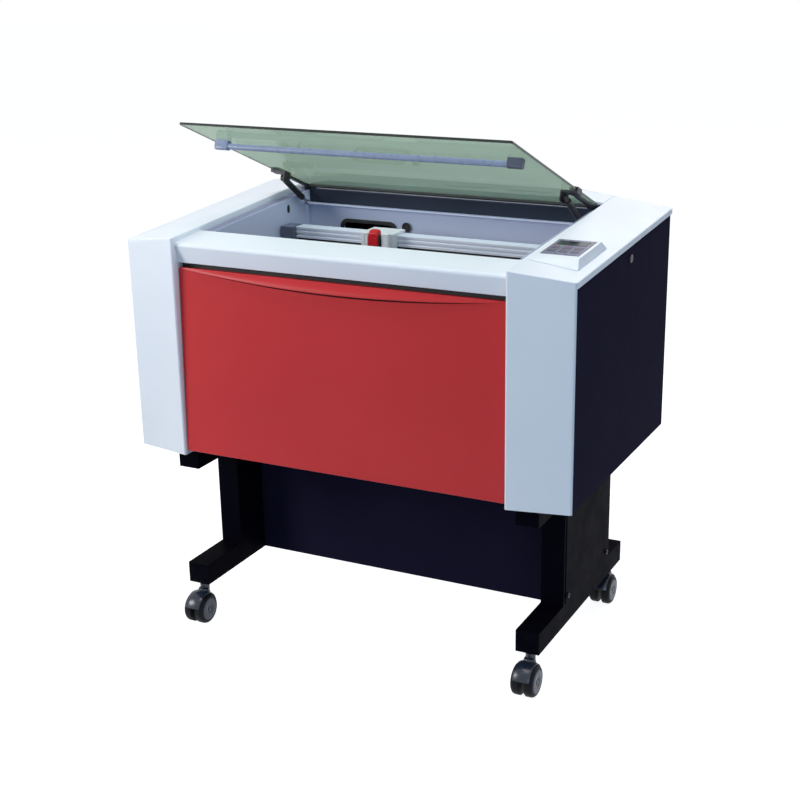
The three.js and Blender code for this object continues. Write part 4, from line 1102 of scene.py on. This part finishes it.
def makeGantryShadeStrip():
    look = beamShadeLook
    low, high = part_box("gantry_beam")
    strip = addBlock(
        "beamShadeStrip",
        (low.x + look["endGap"], low.y + look["front"], low.z - look["height"]),
        (high.x - look["endGap"], low.y + look["back"], low.z - look["gap"]),
    )
    sinkEnd(strip, "y", -1, look["rim"], look["groove"])
    roundOff(strip, 0.5 * mm, 2)
    place(strip, "gantry", "bare_steel", blackPlastic)


# honeycomb bed: one cell of three thin walls, repeated inside a rim over a thin floor


combLook = {"cell": 12 * mm, "wall": 0.5 * mm, "margin": 4 * mm, "rim": 5 * mm, "floorGap": 2 * mm,
            "floor": 0.8 * mm}


def makeHoneycomb():
    look = combLook
    low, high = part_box("honeycomb_insert")
    cell, wall, margin = look["cell"], look["wall"], look["margin"]
    side = cell / math.sqrt(3)
    walls = []
    for number in range(3):
        blade = addBlock("cellWall", (-side / 2, -wall / 2, low.z), (side / 2, wall / 2, high.z))
        angle = math.radians(90 + 60 * number)
        middle = Vector((cell / 2 * math.cos(angle), cell / 2 * math.sin(angle), 0))
        blade.data.transform(Matrix.Translation(middle) @ Matrix.Rotation(angle + math.pi / 2, 4, "Z"))
        walls.append(blade)
    comb = joinAll(walls, "honeycomb")
    stepX, stepY = 1.5 * side, cell
    comb.data.transform(Matrix.Translation((low.x + side + margin, low.y + cell / 2 + margin, 0)))
    comb = joinAll([comb, copyPiece(comb, "honeycombTwin", (stepX, stepY / 2, 0))], "honeycomb")
    columns = int((high.x - low.x - 2 * side - 2 * margin) / (2 * stepX))
    rows = int((high.y - low.y - 1.5 * cell - 2 * margin) / stepY)
    for count, step in ((columns, (2 * stepX, 0, 0)), (rows, (0, stepY, 0))):
        useOnly(comb)
        repeat = comb.modifiers.new("repeat", "ARRAY")
        repeat.count = count
        repeat.use_relative_offset = False
        repeat.use_constant_offset = True
        repeat.constant_offset_displace = step
        bpy.ops.object.modifier_apply(modifier=repeat.name)
    rim = addBlock("honeycombRim", low, high)
    openRing(rim, "z", look["rim"])
    gap = look["floorGap"]
    floor = addBlock("honeycombFloor", (low.x + gap, low.y + gap, low.z),
                     (high.x - gap, high.y - gap, low.z + look["floor"]))
    pickFaces(floor, facing("z", 1))
    insetPicked(2 * mm)
    leaveEdit()
    comb = joinAll([comb, rim, floor], "honeycomb")
    place(comb, "table", "honeycomb_metal", cellMetal, "honeycomb_insert")


makeHead()
makeGantryShadeStrip()
makeHoneycomb()
print("gantry, head and bed done")


# console on the right column: shell, keys, display window and status lamps


consoleLook = {"edge": 2.4 * mm, "keyEdge": 1.1 * mm, "slope": 0.065, "filmTop": 1.0228, "filmFront": -0.258,
               "filmSheet": 0.6 * mm, "windowHalf": 36 * mm, "windowFront": 14 * mm, "windowRear": 46 * mm,
               "windowSheet": 0.5 * mm, "windowRim": 1.5 * mm, "windowSink": 0.25 * mm,
               "ledRadius": 1.6 * mm, "ledFoot": -0.5 * mm, "ledTop": 0.7 * mm, "ledAlong": 8 * mm,
               "ledX": (-30 * mm, -20 * mm, -10 * mm)}


def makeConsole():
    look = consoleLook
    shell = copyOfNode("keypad_console", "consoleShell")
    roundOff(shell, look["edge"], 4, 25)
    place(shell, "chassis", "console_plastic", consolePlastic, "keypad_console")
    for number in range(1, 7):
        key = copyOfNode(f"key_{number}", f"key{number}")
        roundOff(key, look["keyEdge"], 3)
        place(key, f"key_body_{number}", "key_plastic", keyPlastic, f"key_{number}")
    low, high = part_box("keypad_plate")
    tilt = math.atan(look["slope"])
    x, y = (low.x + high.x) / 2, (low.y + high.y) / 2
    top = Vector((x, y, look["filmTop"] + look["slope"] * (y - look["filmFront"]) + look["filmSheet"]))
    window = addBlock(
        "consoleWindow",
        top + Vector((-look["windowHalf"], look["windowFront"], 0)),
        top + Vector((look["windowHalf"], look["windowRear"], look["windowSheet"])),
    )
    sinkEnd(window, "z", 1, look["windowRim"], look["windowSink"])
    roundOff(window, 0.2 * mm, 2)
    tiltAbout(window, top, tilt)
    place(window, "chassis", "keypad_film", windowFilm)
    for number, (shift, glow) in enumerate(zip(look["ledX"], (redGlow, greenGlow, redGlow))):
        led = addRound(f"consoleLed{number}", "z", look["ledRadius"], top.z + look["ledFoot"],
                       top.z + look["ledTop"], (top.x + shift, top.y + look["ledAlong"]), 20)
        roundOff(led, 0.4 * mm, 2)
        tiltAbout(led, top, tilt)
        place(led, "chassis", "keypad_film", glow)


makeConsole()
print("console done")


# rear: duct spigots with beads, screws round the panels


rearLook = {"plateEdge": 0.8 * mm, "spigotX": 0.08, "bead": 39 * mm, "beadRim": 4.2 * mm,
            "beadWidth": 3 * mm, "beadBack": (8 * mm, 44 * mm),
            "screw": 4 * mm, "screwFoot": -0.5 * mm, "screwTop": 2.2 * mm, "socketRim": 1.9 * mm,
            "socketDepth": 1.3 * mm,
            "panelX": (-0.545, -0.27, 0.0, 0.27, 0.545), "panelLow": 14 * mm, "panelHigh": 42 * mm,
            "flange": 3.7 * mm, "flangeX": 0.124, "flangeZ": 0.045}


def makeSpigots():
    look = rearLook
    low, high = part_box("exhaust_manifold")
    height = (low.z + high.z) / 2
    plate = copyOfNode("exhaust_manifold", "exhaustManifold")
    roundOff(plate, look["plateEdge"], 2)
    rings = [plate]
    for sign in sides.values():
        for back in look["beadBack"]:
            ring = addRound("bead", "y", look["bead"], high.y - back - look["beadWidth"], high.y - back,
                            (sign * look["spigotX"], height), 56)
            openRing(ring, "y", look["beadRim"])
            roundOff(ring, 0.9 * mm, 2)
            rings.append(ring)
    spigots = joinAll(rings, "exhaustManifold")
    place(spigots, "chassis", "black_plastic", blackPlastic, "exhaust_manifold")


def makeScrews():
    # one pan head screw with a recess, turned to face the rear and copied to its places
    look = rearLook
    pattern = addRound("screwPattern", "z", look["screw"], look["screwFoot"], look["screwTop"], (0, 0), 24)
    sinkEnd(pattern, "z", 1, look["socketRim"], look["socketDepth"])
    roundOff(pattern, 0.7 * mm, 3)
    pattern.data.transform(Vector((0, 1, 0)).to_track_quat("Z", "Y").to_matrix().to_4x4())
    low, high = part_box("rear_panel")
    heights = (low.z + look["panelLow"], high.z - look["panelHigh"])
    rows = [("rearScrew", [(x, high.y, z) for x in look["panelX"] for z in heights])]
    low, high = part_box("exhaust_manifold")
    middle = (low.z + high.z) / 2
    corners = [(x, low.y + look["flange"], middle + z) for z in (look["flangeZ"], -look["flangeZ"])
               for x in (-look["flangeX"], look["flangeX"])]
    rows.append(("manifoldScrew", corners))
    for name, spots in rows:
        for number, spot in enumerate(spots):
            place(copyPiece(pattern, f"{name}{number}", spot), "chassis", "bare_steel", shaftSteel)
    bpy.data.objects.remove(pattern)


makeSpigots()
makeScrews()
print("rear done")


# floor, light and camera


def shownRays(tree):
    # 1 for camera, glossy and transmission rays, 0 for the rest
    rays = tree.nodes.new("ShaderNodeLightPath")
    shown = rays.outputs["Is Camera Ray"]
    for kind in ("Is Glossy Ray", "Is Transmission Ray"):
        most = tree.nodes.new("ShaderNodeMath")
        most.operation = "MAXIMUM"
        tree.links.new(shown, most.inputs[0])
        tree.links.new(rays.outputs[kind], most.inputs[1])
        shown = most.outputs["Value"]
    return shown


studioLook = {"floorSize": 40, "floorColour": (0.60, 0.60, 0.61), "floorGlow": 0.92,
              "skyColour": (0.6, 0.8, 1.0), "skyStrength": 0.20}


def makeFloor():
    look = studioLook
    bpy.ops.object.select_all(action="DESELECT")
    bpy.ops.mesh.primitive_plane_add(size=look["floorSize"], location=(0, 0, 0))
    floor = settle(bpy.context.object, "floor")
    material = bpy.data.materials.new("floorWhite")
    material.use_nodes = True
    tree = material.node_tree
    tree.nodes.clear()
    out = tree.nodes.new("ShaderNodeOutputMaterial")
    matte = tree.nodes.new("ShaderNodeBsdfDiffuse")
    matte.inputs["Color"].default_value = (*look["floorColour"], 1)
    glow = tree.nodes.new("ShaderNodeEmission")
    glow.inputs["Strength"].default_value = look["floorGlow"]
    empty = tree.nodes.new("ShaderNodeEmission")
    empty.inputs["Strength"].default_value = 0
    pick = tree.nodes.new("ShaderNodeMixShader")
    both = tree.nodes.new("ShaderNodeAddShader")
    tree.links.new(shownRays(tree), pick.inputs["Fac"])
    tree.links.new(empty.outputs["Emission"], pick.inputs[1])
    tree.links.new(glow.outputs["Emission"], pick.inputs[2])
    tree.links.new(matte.outputs["BSDF"], both.inputs[0])
    tree.links.new(pick.outputs["Shader"], both.inputs[1])
    tree.links.new(both.outputs["Shader"], out.inputs["Surface"])
    floor.data.materials.append(material)


def makeWorld():
    look = studioLook
    world = bpy.data.worlds.new("studio")
    bpy.context.scene.world = world
    world.use_nodes = True
    tree = world.node_tree
    tree.nodes.clear()
    out = tree.nodes.new("ShaderNodeOutputWorld")
    soft = tree.nodes.new("ShaderNodeBackground")
    soft.inputs["Color"].default_value = (*look["skyColour"], 1)
    soft.inputs["Strength"].default_value = look["skyStrength"]
    plain = tree.nodes.new("ShaderNodeBackground")
    plain.inputs["Color"].default_value = (1, 1, 1, 1)
    plain.inputs["Strength"].default_value = 1
    mix = tree.nodes.new("ShaderNodeMixShader")
    tree.links.new(shownRays(tree), mix.inputs["Fac"])
    tree.links.new(soft.outputs["Background"], mix.inputs[1])
    tree.links.new(plain.outputs["Background"], mix.inputs[2])
    tree.links.new(mix.outputs["Shader"], out.inputs["Surface"])


lights = {
    "keyLeft": {"at": (-2.0, -1.9, 1.6), "aim": (0, 0, 0.75), "size": 1.2, "power": 41},
    "topSoft": {"at": (0.35, -0.5, 3.4), "aim": (0, 0, 0.9), "size": 2.0, "power": 47},
    "rearSoft": {"at": (0.8, 2.6, 2.6), "aim": (0, 0.2, 0.9), "size": 2.4, "power": 27},
    "fillRight": {"at": (2.2, -2.4, 1.1), "aim": (0, 0, 0.8), "size": 1.6, "power": 14,
                  "colour": (0.35, 0.65, 1.0)},
}


def makeLights():
    for name, look in lights.items():
        bpy.ops.object.select_all(action="DESELECT")
        bpy.ops.object.light_add(type="AREA", location=look["at"])
        lamp = bpy.context.object
        lamp.name = name
        lamp.data.shape = "DISK"
        lamp.data.size = look["size"]
        lamp.data.energy = look["power"]
        lamp.data.color = look.get("colour", (1, 1, 1))
        lamp.visible_transmission = False  # the disk itself never shows through the lid
        aim = Vector(look["aim"]) - Vector(look["at"])
        lamp.rotation_euler = aim.to_track_quat("-Z", "Y").to_euler()


cameraLook = {"at": (1.5334, -3.0252, 1.6734), "yaw": 0.45, "pitch": -0.326, "roll": -0.01, "lens": 64.12,
              "shiftX": -0.0436, "shiftY": 0.0167}


def makeCamera():
    look = cameraLook
    bpy.ops.object.select_all(action="DESELECT")
    bpy.ops.object.camera_add(location=look["at"])
    camera = bpy.context.object
    yaw, pitch, roll = look["yaw"], look["pitch"], look["roll"]
    forward = Vector((-math.sin(yaw) * math.cos(pitch), math.cos(yaw) * math.cos(pitch), math.sin(pitch)))
    level = Vector((math.cos(yaw), math.sin(yaw), 0))
    upright = level.cross(forward)
    right = math.cos(roll) * level + math.sin(roll) * upright
    up = -math.sin(roll) * level + math.cos(roll) * upright
    turn = Matrix((right, up, -forward)).transposed()
    camera.rotation_euler = turn.to_euler()
    camera.data.sensor_width = 36
    camera.data.lens = look["lens"]
    camera.data.shift_x = look["shiftX"]
    camera.data.shift_y = look["shiftY"]
    bpy.context.scene.camera = camera


makeFloor()
makeWorld()
makeLights()
makeCamera()
bpy.context.scene.view_settings.view_transform = "Standard"
print("studio done")
